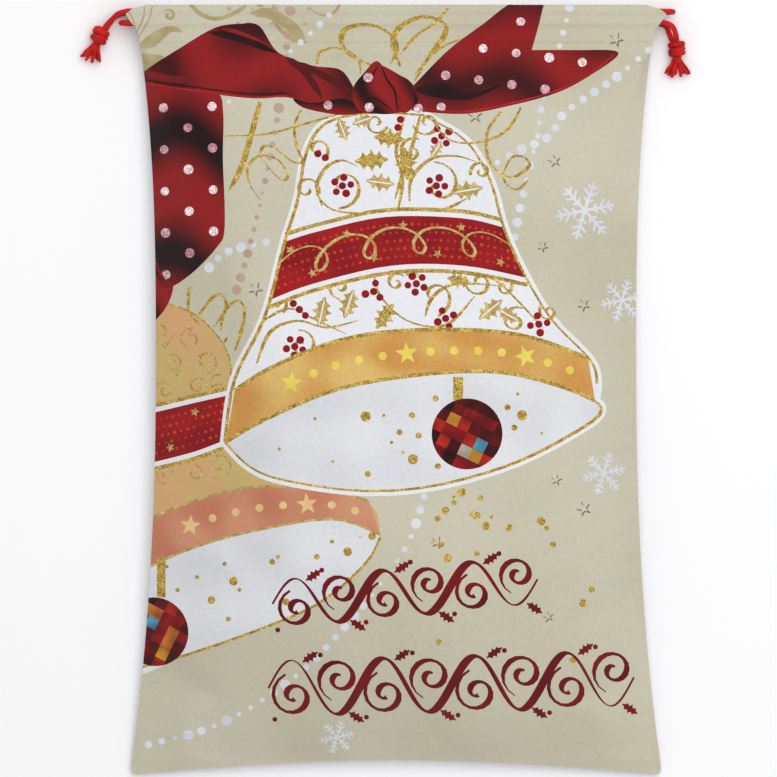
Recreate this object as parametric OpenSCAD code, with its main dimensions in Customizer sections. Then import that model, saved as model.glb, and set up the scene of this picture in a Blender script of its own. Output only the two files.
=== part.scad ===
// Drawstring gift sack, lying on its back and lightly filled.
// X runs across the sack, +Y runs from the base seam to the mouth, +Z is the printed side up.
// The origin is under the middle of the sack, on the surface that it lies on.

/* [Sack] */
// Height of the sack from the base corners to the mouth hem
sack_h = 694; // [500:1:850]
// Width across the waist, where the filled sack pulls in most
waist_w = 432; // [320:1:520]
// Width across the base corners
base_w = 480; // [360:1:580]
// Width across the side seams where the drawstring channel starts
shoulder_w = 460; // [340:1:560]
// Height of the crown above the surface
crown_h = 94; // [60:1:160]
// Distance of the waist above the middle of the sack
waist_y = 30; // [-60:1:90]
// Rise of the base edge at the middle, between the two corners
base_rise = 14; // [0:1:30]
// Thickness of the cloth
cloth_t = 1; // [0.6:0.1:1.6]

/* [Seam level] */
// Height of the seam above the surface at the base corners
corner_z = 5; // [3:0.5:12]
// Extra height of the side seams at the waist
side_lift = 15; // [4:1:30]
// Extra height of the base seam at its middle
base_lift = 9; // [2:1:20]
// Extra height of the side seams at the slits
slit_lift = 8; // [4:0.5:12]

/* [Drawstring channel] */
// Height of the channel from its stitched edge to the mouth hem
channel_h = 37; // [30:1:50]
// Height of the flat double hem under the channel
hem_h = 6; // [4:1:10]
// Clear height between the front and back channels at the mouth
mouth_gap = 12; // [8:1:24]
// Room above and below a drawstring inside its channel
channel_gap = 0.5; // [0.3:0.1:1.5]
// How far the ears at the mouth corners stand out past the side seams
ear_out = 13; // [6:1:20]
// Distance of the ear tips below the mouth hem
ear_drop = 9; // [6:1:14]
// Length of the slope from the mouth hem to each ear tip
ear_slope = 21; // [12:1:30]
// Diameter of the stitching thread
thread_d = 0.8; // [0.5:0.1:1.2]
// Distance of the stitching above the channel's lower edge
stitch_y = 3; // [2:0.5:4]

/* [Seam allowances] */
// Width of the seam allowance inside the sack
allowance_w = 8; // [5:1:12]
// Distance from the seam to its allowance
allowance_in = 2; // [1.5:0.5:4]
// Length of the bartack over the top of each side seam
bartack_w = 9; // [6:1:14]
// Height of the bartack thread over the cloth
bartack_t = 0.6; // [0.4:0.1:1]

/* [Drawstrings] */
// Diameter of the drawstrings
cord_d = 5; // [4:0.5:5.5]
// Radius of the overhand knots
knot_r = 8; // [6:0.5:10]
// Number of wraps along a knot
knot_wraps = 3; // [2:1:4]
// Radius of a wrap's rounded edge
wrap_r = 2.7; // [2:0.1:3]
// Distance between wraps
wrap_pitch = 4.6; // [3:0.2:5]
// Length of each frayed end
tassel_l = 18; // [12:1:30]
// Radius of a frayed end where it leaves the knot
tassel_neck_r = 2.6; // [2:0.1:3]
// Radius of a frayed end at its tip
tassel_tip_r = 5.5; // [4:0.5:7]
// Gap between the necks of a knot's two frayed ends
tassel_gap = 0.6; // [0.4:0.1:2]

/* [Hidden] */

// Edges of the sack along Y
top_y = sack_h / 2;
base_y = -sack_h / 2;
channel_y = top_y - channel_h;

// Heights of the two channels
channel_half = cord_d / 2 + channel_gap + cloth_t;
back_z = channel_half;
front_z = back_z + 2 * channel_half + mouth_gap;

// Shapes of the side and base edges: larger exponents keep the middle straighter
shoulder_power = 2.8;
hip_power = 2.3;
base_power = 1.8;

// Shape of the filled body
fill_power = 2.6;
rise_power = 2.8;
rise_end = 0.42;
rest_flat = 0.4;
rest_power = 3;
rest_end = 0.13;
mouth_start = 0.5;
mouth_start_back = 0.8;
slit_start = 0.98;

// Grid of the cloth panels, closer together near every edge
columns = 34;
rows = 36;

// Facets of the round sweeps and turned shapes
cord_sides = 8;
turned_fn = 48;

// Routes of the drawstrings, from one tail through both channels to the other tail.
// The left one runs in the upper lane and turns back at the right ear,
// and the right one runs in the lower lane and turns back at the left ear.
left_route = [
    [-263, 323, 11], [-258, 330, 16], [-251, 338, 22], [-242, 341, 24], [-232, 341, 24], [-200, 341, 24],
    [-150, 341, 24], [-100, 341, 24], [-50, 341, 24], [0, 341, 24], [50, 341, 24], [100, 341, 24],
    [150, 341, 24], [200, 341, 24], [229, 341, 24], [239, 341, 24], [244.5, 341, 22.5], [248, 341, 19],
    [249.5, 341, 14], [248, 341, 9], [244.5, 341, 5.5], [239, 341, 4], [229, 341, 4], [200, 341, 4],
    [150, 341, 4], [100, 341, 4], [50, 341, 4], [0, 341, 4], [-50, 341, 4], [-100, 341, 4],
    [-150, 341, 4], [-200, 341, 4], [-232, 341, 4], [-242, 341, 4], [-252, 338, 4], [-260, 331, 4],
    [-264, 324, 6]
];
right_route = [
    [253, 313, 11], [252, 320, 16], [248, 328, 22], [239, 331, 24], [230, 331, 24], [200, 331, 24],
    [150, 331, 24], [100, 331, 24], [50, 331, 24], [0, 331, 24], [-50, 331, 24], [-100, 331, 24],
    [-150, 331, 24], [-200, 331, 24], [-228, 331, 24], [-237, 331, 24], [-242.5, 331, 22.5], [-246, 331, 19],
    [-247.5, 331, 14], [-246, 331, 9], [-242.5, 331, 5.5], [-237, 331, 4], [-228, 331, 4], [-200, 331, 4],
    [-150, 331, 4], [-100, 331, 4], [-50, 331, 4], [0, 331, 4], [50, 331, 4], [100, 331, 4],
    [150, 331, 4], [200, 331, 4], [228, 331, 4], [237, 331, 4], [244, 328, 4], [247, 321, 4],
    [250, 314, 6]
];
left_knot_at = [-267, 320, 8.5];
right_knot_at = [253, 308, 8.5];
left_knot_turn = -125;
right_knot_turn = -85;
left_tassel_turn = -112;
right_tassel_turn = -87;
left_spread = 32;
right_spread = 50;

// ---- Shape of the sack ----

function clamp01(t) = max(0, min(1, t));
function smooth(t) = let (c = clamp01(t)) c * c * (3 - 2 * c);
function mix(a, b, t) = a + (b - a) * t;

// Half the width of the sack at a height along it
function half_width(y) = y > waist_y
    ? mix(waist_w, shoulder_w, pow((y - waist_y) / (channel_y - waist_y), shoulder_power)) / 2
    : mix(waist_w, base_w, pow((waist_y - y) / (waist_y - base_y), hip_power)) / 2;

// Height along the sack: v is 0 on the base seam and 1 where the channel starts, u is -1 to 1 across
function along(u, v) = mix(base_y + base_rise * (1 - pow(abs(u), base_power)), channel_y, v);
function plan(u, v, z) = let (y = along(u, v)) [u * half_width(y), y, z];

// Level of the seam between the two panels
function seam_z(u, v) = corner_z + side_lift * 4 * v * (1 - v)
    + base_lift * (1 - u * u) * pow(1 - v, 4) + slit_lift * pow(v, 4);

// How far a point has turned into the mouth, from 0 in the body to 1 at the channel
function mouth_turn(u, v, first) =
    let (start = mix(first, slit_start, pow(abs(u), 3))) smooth((v - start) / (1 - start));

// Filled shape: 0 along the seams and 1 at the crown
function fill(u, v) = (1 - pow(abs(u), fill_power)) * (1 - pow(1 - clamp01(v / rise_end), rise_power));

// Resting shape: 0 where the back lies flat and 1 along the seams
function lift(u, v) = 1 - (1 - pow(clamp01((abs(u) - rest_flat) / (1 - rest_flat)), rest_power))
    * (1 - pow(1 - clamp01(v / rest_end), rest_power));

function front_inner(u, v) = mix(
    seam_z(u, v) + (crown_h - cloth_t - seam_z(u, v)) * fill(u, v),
    front_z - cloth_t / 2, mouth_turn(u, v, mouth_start));
function front_outer(u, v) = front_inner(u, v) + cloth_t;
function back_outer(u, v) = mix(
    (seam_z(u, v) - cloth_t) * lift(u, v),
    back_z - cloth_t / 2, mouth_turn(u, v, mouth_start_back));
function back_inner(u, v) = back_outer(u, v) + cloth_t;

// ---- General solids ----

// Values from 0 to 1 that crowd towards both ends
function crowded(steps) = [for (i = [0:steps]) (1 - cos(180 * i / steps)) / 2];

// Closed skin between two surfaces over a grid of us by vs
module skin(us, vs, upper, lower) {
    nu = len(us);
    nv = len(vs);
    n = nu * nv;
    points = [for (height = [upper, lower]) for (v = vs) for (u = us) plan(u, v, height(u, v))];
    cells = [for (j = [0:nv - 2]) for (i = [0:nu - 2]) [j * nu + i, (j + 1) * nu + i]];
    rim = concat(
        [for (i = [0:nu - 2]) i], [for (j = [0:nv - 2]) j * nu + nu - 1],
        [for (i = [nu - 1:-1:1]) (nv - 1) * nu + i], [for (j = [nv - 1:-1:1]) j * nu]);
    faces = concat(
        [for (c = cells) each [[c[0], c[1], c[1] + 1], [c[0], c[1] + 1, c[0] + 1]]],
        [for (c = cells) each [[c[1] + 1, c[1], c[0]] + [n, n, n], [c[0] + 1, c[1] + 1, c[0]] + [n, n, n]]],
        [for (k = [0:len(rim) - 1]) let (p = rim[k], q = rim[(k + 1) % len(rim)])
            each [[p, q, q + n], [p, q + n, p + n]]]);
    polyhedron(points = points, faces = faces);
}

// Smooth curve through a route's points, with some steps between each pair
function spline_at(a, b, c, d, t) = 0.5 * (2 * b + (c - a) * t
    + (2 * a - 5 * b + 4 * c - d) * t * t + (3 * b - a - 3 * c + d) * t * t * t);
function spline(route, steps) = let (last = len(route) - 1) [
    for (i = [0:last - 1]) for (k = [0:steps - 1])
        spline_at(route[max(i - 1, 0)], route[i], route[i + 1], route[min(i + 2, last)], k / steps),
    route[last]
];

function unit(v) = v / norm(v);

// Directions that stay square to a path: each is carried on from the one before
function carried(path, side, i = 0) = i >= len(path) ? [] :
    let (
        ahead = unit(path[min(i + 1, len(path) - 1)] - path[max(i - 1, 0)]),
        square = unit(side - ahead * (side * ahead))
    )
    concat([[ahead, square]], carried(path, square, i + 1));

// Tube of round section along an open path
module tube(path, r, sides, first_side) {
    frames = carried(path, first_side);
    last = len(path) - 1;
    points = [for (i = [0:last]) for (k = [0:sides - 1])
        let (a = 360 * k / sides, across = cross(frames[i][0], frames[i][1]))
            path[i] + r * (cos(a) * frames[i][1] + sin(a) * across)];
    faces = concat(
        [[for (k = [0:sides - 1]) k]],
        [for (i = [0:last - 1]) for (k = [0:sides - 1])
            let (p = i * sides + k, q = i * sides + (k + 1) % sides)
                each [[p, p + sides, q + sides], [p, q + sides, q]]],
        [[for (k = [sides - 1:-1:0]) last * sides + k]]);
    polyhedron(points = points, faces = faces);
}

// Overhand knot: a lump of wraps about the way the tails run through it
module knot_solid() {
    middle = (knot_wraps - 1) / 2;
    rotate([0, 90, 0]) rotate_extrude($fn = turned_fn) intersection() {
        union() {
            for (i = [0:knot_wraps - 1])
                translate([knot_r - wrap_r, (i - middle) * wrap_pitch]) circle(r = wrap_r, $fn = turned_fn);
            translate([0, -middle * wrap_pitch]) square([knot_r - wrap_r, 2 * middle * wrap_pitch]);
        }
        translate([0, -knot_r]) square([knot_r, 2 * knot_r]);
    }
}

// One frayed drawstring end, flaring away from its knot along +X
module frayed_end() {
    rotate([0, 90, 0]) rotate_extrude($fn = turned_fn)
        polygon([
            [0, 0], [tassel_neck_r, 0], [tassel_neck_r, tassel_l / 4],
            [tassel_tip_r, tassel_l * 0.8], [tassel_tip_r * 0.7, tassel_l], [0, tassel_l]
        ]);
}

// Two frayed ends side by side, spread apart about one direction out of the knot
module tassel(knot_at, turn, spread) {
    translate([knot_at[0], knot_at[1], tassel_tip_r]) rotate([0, 0, turn])
        for (side = [-1, 1])
            translate([knot_wraps * wrap_pitch / 2, side * (tassel_neck_r + tassel_gap / 2), 0])
                rotate([0, 0, side * spread / 2]) frayed_end();
}

// ---- Channels ----

// Section of a channel in Y and Z: a flat double hem that opens into a round-nosed tunnel
module channel_outline(half, nose) {
    union() {
        polygon([
            [hem_h + channel_half, -half], [channel_h - channel_half, -half],
            [channel_h - channel_half, half], [hem_h + channel_half, half], [hem_h, nose], [hem_h, -nose]
        ]);
        translate([channel_h - channel_half, 0]) circle(r = half, $fn = turned_fn);
    }
}

module channel_section() {
    difference() {
        union() {
            channel_outline(channel_half, cloth_t);
            translate([0, -cloth_t]) square([hem_h, 2 * cloth_t]);
        }
        channel_outline(channel_half - cloth_t, cloth_t / 4);
    }
}

// Outline of a channel seen from above, with an ear at each end
module ear_outline() {
    tip = shoulder_w / 2 + ear_out;
    right = [
        [shoulder_w / 2, channel_y], [shoulder_w / 2 + 2, channel_y + channel_h / 3],
        [tip, top_y - ear_drop], [tip - ear_slope / 4, top_y - ear_drop / 2], [tip - ear_slope, top_y]
    ];
    polygon(concat(right, [for (i = [len(right) - 1:-1:0]) [-right[i][0], right[i][1]]]));
}

module channel(z) {
    reach = shoulder_w / 2 + 2 * ear_out;
    intersection() {
        translate([-reach, channel_y, z]) rotate([90, 0, 90]) linear_extrude(2 * reach) channel_section();
        translate([0, 0, z - 2 * channel_half]) linear_extrude(4 * channel_half) ear_outline();
    }
}

// Straight row of thread on the face of a channel's flat hem
module channel_thread(z) {
    translate([-shoulder_w / 2, channel_y + stitch_y, z]) rotate([0, 90, 0])
        cylinder(h = shoulder_w, d = thread_d, $fn = turned_fn);
}

// ---- Seam allowances ----

// Upper and lower faces of an allowance: two plies where there is room between the panels
function allowance_top(u, v) = min(front_inner(u, v), seam_z(u, v) + cloth_t);
function allowance_bottom(u, v) = max(back_inner(u, v), seam_z(u, v) - cloth_t);

module side_allowance(side) {
    outer = 1 - allowance_in / (waist_w / 2);
    inner = 1 - (allowance_in + allowance_w) / (waist_w / 2);
    us = side > 0 ? [inner, outer] : [-outer, -inner];
    skin(us, [for (k = [0:rows]) mix(0.03, 0.97, k / rows)],
        function (u, v) allowance_top(u, v), function (u, v) allowance_bottom(u, v));
}

// Dense thread over the top of a side seam, on the printed face
module bartack(side) {
    outer = 1 - allowance_in / (waist_w / 2);
    inner = outer - bartack_w / (waist_w / 2);
    us = [for (k = [0:3]) mix(inner, outer, k / 3)];
    bar = 0.004;
    skin(side > 0 ? us : [for (k = [3:-1:0]) -us[k]],
        [for (k = [0:2]) slit_start - bar + bar * k / 2],
        function (u, v) front_outer(u, v) + bartack_t, function (u, v) front_outer(u, v));
}

// ---- Pieces ----

module front_panel() {
    color("tan") skin([for (t = crowded(columns)) 2 * t - 1], crowded(rows),
        function (u, v) front_outer(u, v), function (u, v) front_inner(u, v));
}

module back_panel() {
    color("whitesmoke") skin([for (t = crowded(columns)) 2 * t - 1], crowded(rows),
        function (u, v) back_inner(u, v), function (u, v) back_outer(u, v));
}

module front_casing() {
    color("wheat") channel(front_z);
}

module back_casing() {
    color("white") channel(back_z);
}

module front_casing_stitching() {
    color("beige") channel_thread(front_z + cloth_t + thread_d / 2);
}

module back_casing_stitching() {
    color("ivory") channel_thread(back_z - cloth_t - thread_d / 2);
}

module left_side_seam() {
    color("gainsboro") side_allowance(-1);
}

module right_side_seam() {
    color("gainsboro") side_allowance(1);
}

module bottom_seam() {
    across = 0.9;
    long = channel_y - base_y;
    color("gainsboro") skin([for (k = [0:columns]) mix(-across, across, k / columns)],
        [allowance_in / long, (allowance_in + allowance_w) / long],
        function (u, v) allowance_top(u, v), function (u, v) allowance_bottom(u, v));
}

module left_bartack() {
    color("ivory") bartack(-1);
}

module right_bartack() {
    color("ivory") bartack(1);
}

module left_cord() {
    color("crimson") tube(spline(left_route, 2), cord_d / 2, cord_sides, [0, 0, 1]);
}

module left_knot() {
    color("firebrick") translate(left_knot_at) rotate([0, 0, left_knot_turn]) knot_solid();
}

module left_tassel() {
    color("red") tassel(left_knot_at, left_tassel_turn, left_spread);
}

module right_cord() {
    color("crimson") tube(spline(right_route, 2), cord_d / 2, cord_sides, [0, 0, 1]);
}

module right_knot() {
    color("firebrick") translate(right_knot_at) rotate([0, 0, right_knot_turn]) knot_solid();
}

module right_tassel() {
    color("red") tassel(right_knot_at, right_tassel_turn, right_spread);
}

front_panel();
back_panel();
front_casing();
back_casing();
front_casing_stitching();
back_casing_stitching();
left_side_seam();
right_side_seam();
bottom_seam();
left_bartack();
right_bartack();
left_cord();
left_knot();
left_tassel();
right_cord();
right_knot();
right_tassel();
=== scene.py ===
"""Festive drawstring gift sack: printed cloth, two opposed drawstrings and a pale studio floor.

Lengths are metres. The artwork alone is drawn in millimetres on the spread face of the sack, with
its origin in the middle of the sack, and it is cut into the mesh of the cloth.
"""

from __future__ import annotations

import logging
import math
import random
from dataclasses import dataclass, field
from enum import Enum
from typing import Callable, Iterable, Sequence

import bpy
import numpy as np
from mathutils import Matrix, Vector
from mathutils.geometry import delaunay_2d_cdt
from mathutils.kdtree import KDTree


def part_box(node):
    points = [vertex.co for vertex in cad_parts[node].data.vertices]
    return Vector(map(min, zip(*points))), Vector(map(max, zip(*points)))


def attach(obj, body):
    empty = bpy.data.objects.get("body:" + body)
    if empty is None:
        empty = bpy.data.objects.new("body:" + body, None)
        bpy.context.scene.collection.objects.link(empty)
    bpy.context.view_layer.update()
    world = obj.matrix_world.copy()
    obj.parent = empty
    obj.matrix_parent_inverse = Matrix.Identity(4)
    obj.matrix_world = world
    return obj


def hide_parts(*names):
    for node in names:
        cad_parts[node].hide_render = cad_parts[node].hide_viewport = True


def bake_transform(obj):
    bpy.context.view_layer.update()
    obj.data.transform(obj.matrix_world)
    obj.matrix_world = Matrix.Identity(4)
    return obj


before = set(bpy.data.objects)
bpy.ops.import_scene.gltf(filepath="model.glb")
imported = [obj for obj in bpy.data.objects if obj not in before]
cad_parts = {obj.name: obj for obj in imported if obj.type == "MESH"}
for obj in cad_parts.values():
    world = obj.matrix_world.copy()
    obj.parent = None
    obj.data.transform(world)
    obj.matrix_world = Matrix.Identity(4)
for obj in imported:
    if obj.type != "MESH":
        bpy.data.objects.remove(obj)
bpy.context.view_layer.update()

LOG = logging.getLogger("sack")
MM = 0.001
TAU = 2 * math.pi
Array = np.ndarray
Point = tuple[float, float]
Colour = tuple[float, float, float]
Place = tuple[float, float, float]
Edges = tuple[Sequence[Point], Sequence[Point]]
Tone = Callable[[Array], Array]
Swell = Callable[[Array, Array], Array]
Piece = bpy.types.Object
Finish = bpy.types.Material
Socket = bpy.types.NodeSocket


class Side(Enum):
    """Panel of the sack; the value is the way that its outer face looks along Z."""

    FRONT = 1
    BACK = -1


class Half(Enum):
    """Half of the sack; the value is the sign of its X."""

    LEFT = -1
    RIGHT = 1

    @property
    def puller(self) -> str:
        """Body of the drawstring that turns back at this half's ear and gathers it."""
        return "right_drawstring" if self is Half.LEFT else "left_drawstring"


# ------------------------------------------------------------------------------ numbers and curves


def smooth(t: Array) -> Array:
    """Smooth step from 0 to 1."""
    c = np.clip(t, 0.0, 1.0)
    return c * c * (3 - 2 * c)


def mix(a: Array, b: Array, t: Array) -> Array:
    """Goes from a to b as t goes from 0 to 1."""
    return a + (b - a) * t


def srgb(red: int, green: int, blue: int) -> Colour:
    """Linear colour of a display colour given in steps from 0 to 255."""

    def linear(step: int) -> float:
        """One channel of it."""
        value = step / 255
        return value / 12.92 if value <= 0.04045 else ((value + 0.055) / 1.055) ** 2.4

    return linear(red), linear(green), linear(blue)


def curve(points: Sequence[Sequence[float]], closed: bool = False, steps: int = 5) -> Array:
    """Smooth curve through some points.

    Args:
        points: what the curve passes, in order.
        closed: whether it returns to its first point.
        steps: pieces between one point and the next.

    Returns:
        The points along the curve, one a row.
    """
    p = np.asarray(points, float)
    n = len(p)
    t = np.linspace(0, 1, steps, endpoint=False)[:, None]
    rows = []
    for i in range(n if closed else n - 1):
        if closed:
            a, b, c, d = p[i - 1], p[i], p[(i + 1) % n], p[(i + 2) % n]
        else:
            a, b, c, d = p[max(i - 1, 0)], p[i], p[i + 1], p[min(i + 2, n - 1)]
        cubic = (3 * b - a - 3 * c + d) * t**3 + (2 * a - 5 * b + 4 * c - d) * t**2
        rows.append(b + 0.5 * ((c - a) * t + cubic))
    if not closed:
        rows.append(p[-1:])
    return np.vstack(rows)


def even(points: Array, spacing: float) -> Array:
    """Points about one spacing apart along a line of points."""
    at = np.concatenate([[0], np.cumsum(np.linalg.norm(np.diff(points, axis=0), axis=1))])
    wanted = np.linspace(0, at[-1], max(2, int(round(at[-1] / spacing)) + 1))
    return np.column_stack([np.interp(wanted, at, points[:, k]) for k in range(points.shape[1])])


def split(ring: Array, longest: float) -> Array:
    """Closed ring with extra points along its long sides, so that none is longer than a limit."""
    after = np.roll(ring, -1, axis=0)
    parts = np.maximum(1, np.ceil(np.linalg.norm(after - ring, axis=1) / longest)).astype(int)
    return np.vstack([a + (b - a) * np.arange(n)[:, None] / n for a, b, n in zip(ring, after, parts)])


def winding(points: Array, ring: Array) -> Array:
    """How many times a closed ring goes round each point."""
    count = np.zeros(len(points), int)
    px, py = points[:, 0], points[:, 1]
    for (ax, ay), (bx, by) in zip(ring, np.roll(ring, -1, axis=0)):
        left = (bx - ax) * (py - ay) - (px - ax) * (by - ay)
        count += (ay <= py) & (by > py) & (left > 0)
        count -= (ay > py) & (by <= py) & (left < 0)
    return count


def box_size(node: str) -> Array:
    """Size of a frame node's box."""
    low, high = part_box(node)
    return np.array(high) - np.array(low)


def box_middle(node: str) -> Array:
    """Middle of a frame node's box."""
    low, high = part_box(node)
    return (np.array(high) + np.array(low)) / 2


# ------------------------------------------------------------------------------------ making meshes


def tube(path: Array, radius: Array, sides: int) -> tuple[Array, list[tuple[int, ...]]]:
    """Tube with closed ends along a path.

    Args:
        path: ring centres, one a row.
        radius: one radius, one a ring, or one a ring and side.
        sides: number of sides.

    Returns:
        The points and the faces.
    """
    n = len(path)
    tangent = np.gradient(path, axis=0)
    tangent /= np.linalg.norm(tangent, axis=1)[:, None]
    across = np.empty_like(path)
    seed = np.eye(3)[int(np.argmin(np.abs(tangent[0])))]
    for i in range(n):
        seed = seed - tangent[i] * seed.dot(tangent[i])
        seed /= np.linalg.norm(seed)
        across[i] = seed
    up = np.cross(tangent, across)
    angle = TAU * np.arange(sides) / sides
    r = np.broadcast_to(np.asarray(radius, float), (n, sides)) if np.ndim(radius) != 1 else radius[:, None]
    ring = across[:, None] * np.cos(angle)[None, :, None] + up[:, None] * np.sin(angle)[None, :, None]
    points = path[:, None] + ring * (r * np.ones((n, sides)))[:, :, None]
    faces: list[tuple[int, ...]] = [tuple(range(sides))[::-1], tuple(range((n - 1) * sides, n * sides))]
    for i in range(n - 1):
        a, b = i * sides, (i + 1) * sides
        faces += [(a + j, a + (j + 1) % sides, b + (j + 1) % sides, b + j) for j in range(sides)]
    return points.reshape(-1, 3), faces


@dataclass
class Workpiece:
    """Mesh under construction, to which closed parts are added."""

    name: str
    points: list[Array] = field(default_factory=list)
    faces: list[tuple[int, ...]] = field(default_factory=list)
    count: int = 0

    def add(self, points: Array, faces: Iterable[tuple[int, ...]]) -> None:
        """Adds one part's points and faces."""
        self.faces += [tuple(i + self.count for i in face) for face in faces]
        self.points.append(points)
        self.count += len(points)

    def add_tube(self, path: Array, radius: Array | float, sides: int = 6) -> None:
        """Adds a tube along a path."""
        self.add(*tube(path, radius, sides))

    def finish(self, material: Finish, slot: str) -> Piece:
        """Makes the object.

        Args:
            material: its finish.
            slot: not used.

        Returns:
            The new object, linked to the scene.
        """
        mesh = bpy.data.meshes.new(self.name)
        mesh.from_pydata(np.vstack(self.points).tolist(), [], self.faces)
        mesh.polygons.foreach_set("use_smooth", [True] * len(mesh.polygons))
        mesh.materials.append(material)
        mesh.validate()
        piece = bpy.data.objects.new(self.name, mesh)
        bpy.context.scene.collection.objects.link(piece)
        LOG.info("%s: %d faces", self.name, len(mesh.polygons))
        return piece


# ----------------------------------------------------------------------------------------- finishes


@dataclass
class NodeBench:
    """Short way to lay out the nodes of one material."""

    name: str

    def __post_init__(self) -> None:
        """Makes the material with its shader and output."""
        self.material = bpy.data.materials.new(self.name)
        self.material.use_nodes = True
        self.tree = self.material.node_tree
        self.tree.nodes.clear()
        self.shader = self.tree.nodes.new("ShaderNodeBsdfPrincipled")
        output = self.tree.nodes.new("ShaderNodeOutputMaterial")
        self.tree.links.new(self.shader.outputs["BSDF"], output.inputs["Surface"])

    def node(self, kind: str, settings: dict | None = None, **sockets: object) -> bpy.types.Node:
        """Adds a node.

        Args:
            kind: sort of node, without its prefix.
            settings: properties of the node.
            sockets: inputs by name, with _ for a space; each is a value or another node's output.

        Returns:
            The new node.
        """
        made = self.tree.nodes.new("ShaderNode" + kind)
        for key, value in (settings or {}).items():
            setattr(made, key, value)
        for key, value in sockets.items():
            self.put(made, key.replace("_", " "), value)
        return made

    def put(self, node: bpy.types.Node, socket: str, value: object) -> None:
        """Sets or links one input of a node, by its name or as i and its number."""
        target = node.inputs[int(socket[1:]) if socket[1:].isdigit() else socket]
        if isinstance(value, Socket):
            self.tree.links.new(value, target)
        else:
            target.default_value = value

    def maths(self, operation: str, a: object, b: object = 0.0) -> Socket:
        """Result of one sum."""
        made = self.tree.nodes.new("ShaderNodeMath")
        made.operation = operation
        self.put(made, "i0", a)
        self.put(made, "i1", b)
        return made.outputs[0]

    def blend(self, share: object, a: object, b: object, kind: str = "MIX") -> Socket:
        """Mixes two colours by a share."""
        made = self.tree.nodes.new("ShaderNodeMixRGB")
        made.blend_type = kind
        self.put(made, "Fac", share)
        self.put(made, "Color1", a)
        self.put(made, "Color2", b)
        return made.outputs[0]

    def grey(self, value: object) -> Socket:
        """Grey of one lightness."""
        return self.node("CombineColor", None, Red=value, Green=value, Blue=value).outputs[0]

    def ramp(self, value: object, low: float, high: float, out_low: float, out_high: float) -> Socket:
        """Maps a value from one range to another, held at the ends."""
        made = self.node("MapRange", {"clamp": True}, Value=value)
        for socket, number in (
            ("From Min", low), ("From Max", high), ("To Min", out_low), ("To Max", out_high)
        ):
            made.inputs[socket].default_value = number
        return made.outputs[0]

    def noise(self, where: object, scale: float, detail: float = 2.0) -> Socket:
        """Cloudy value from 0 to 1."""
        return self.node("TexNoise", None, Vector=where, Scale=scale, Detail=detail).outputs[0]

    def wave(self, where: object, pitch: float, direction: str, wobble: float = 0.0) -> Socket:
        """Even bands at a pitch in metres."""
        turns_per_unit = 20.0
        made = self.node("TexWave", {"bands_direction": direction}, Vector=where, Distortion=wobble)
        made.inputs["Scale"].default_value = TAU / (turns_per_unit * pitch)
        return made.outputs[1]

    def relief(self, height: object, strength: float, distance: float) -> None:
        """Gives the shader a fine relief."""
        bump = self.node("Bump", None, Height=height, Strength=strength, Distance=distance)
        self.put(self.shader, "Normal", bump.outputs[0])

    def shade(self, **sockets: object) -> Finish:
        """Sets the shader's inputs, with _ for a space, and gives the material."""
        for key, value in sockets.items():
            self.put(self.shader, key.replace("_", " "), value)
        return self.material


@dataclass(frozen=True)
class Weave:
    """Plain weave of the sack's cloth, laid along the cloth's own map in metres."""

    pitch: float = 0.95 * MM
    wobble: float = 0.6
    slub_scale: float = 260.0
    patch_scale: float = 9.0

    def height(self, bench: NodeBench, where: object) -> Socket:
        """Height of the threads, warp and weft taking turns on top."""
        warp = bench.wave(where, self.pitch, "X", self.wobble)
        weft = bench.wave(where, self.pitch, "Y", self.wobble)
        threads = bench.maths("MAXIMUM", warp, weft)
        slubs = bench.noise(where, self.slub_scale)
        return bench.maths("ADD", bench.maths("MULTIPLY", threads, 0.7), bench.maths("MULTIPLY", slubs, 0.6))

    def shade(self, bench: NodeBench, where: object, height: object) -> Socket:
        """Painted shade between the threads, darker where the weave dips, times a slightly uneven tone over
        the piece.
        """
        # painted shade: the cloth's colour darkens where the thread height is low, between the threads
        threads = bench.ramp(height, 0.3, 1.0, 0.77, 0.985)
        clouds = bench.ramp(bench.noise(where, self.patch_scale, 4.0), 0.3, 0.7, 0.965, 1.02)
        return bench.maths("MULTIPLY", threads, clouds)


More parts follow.
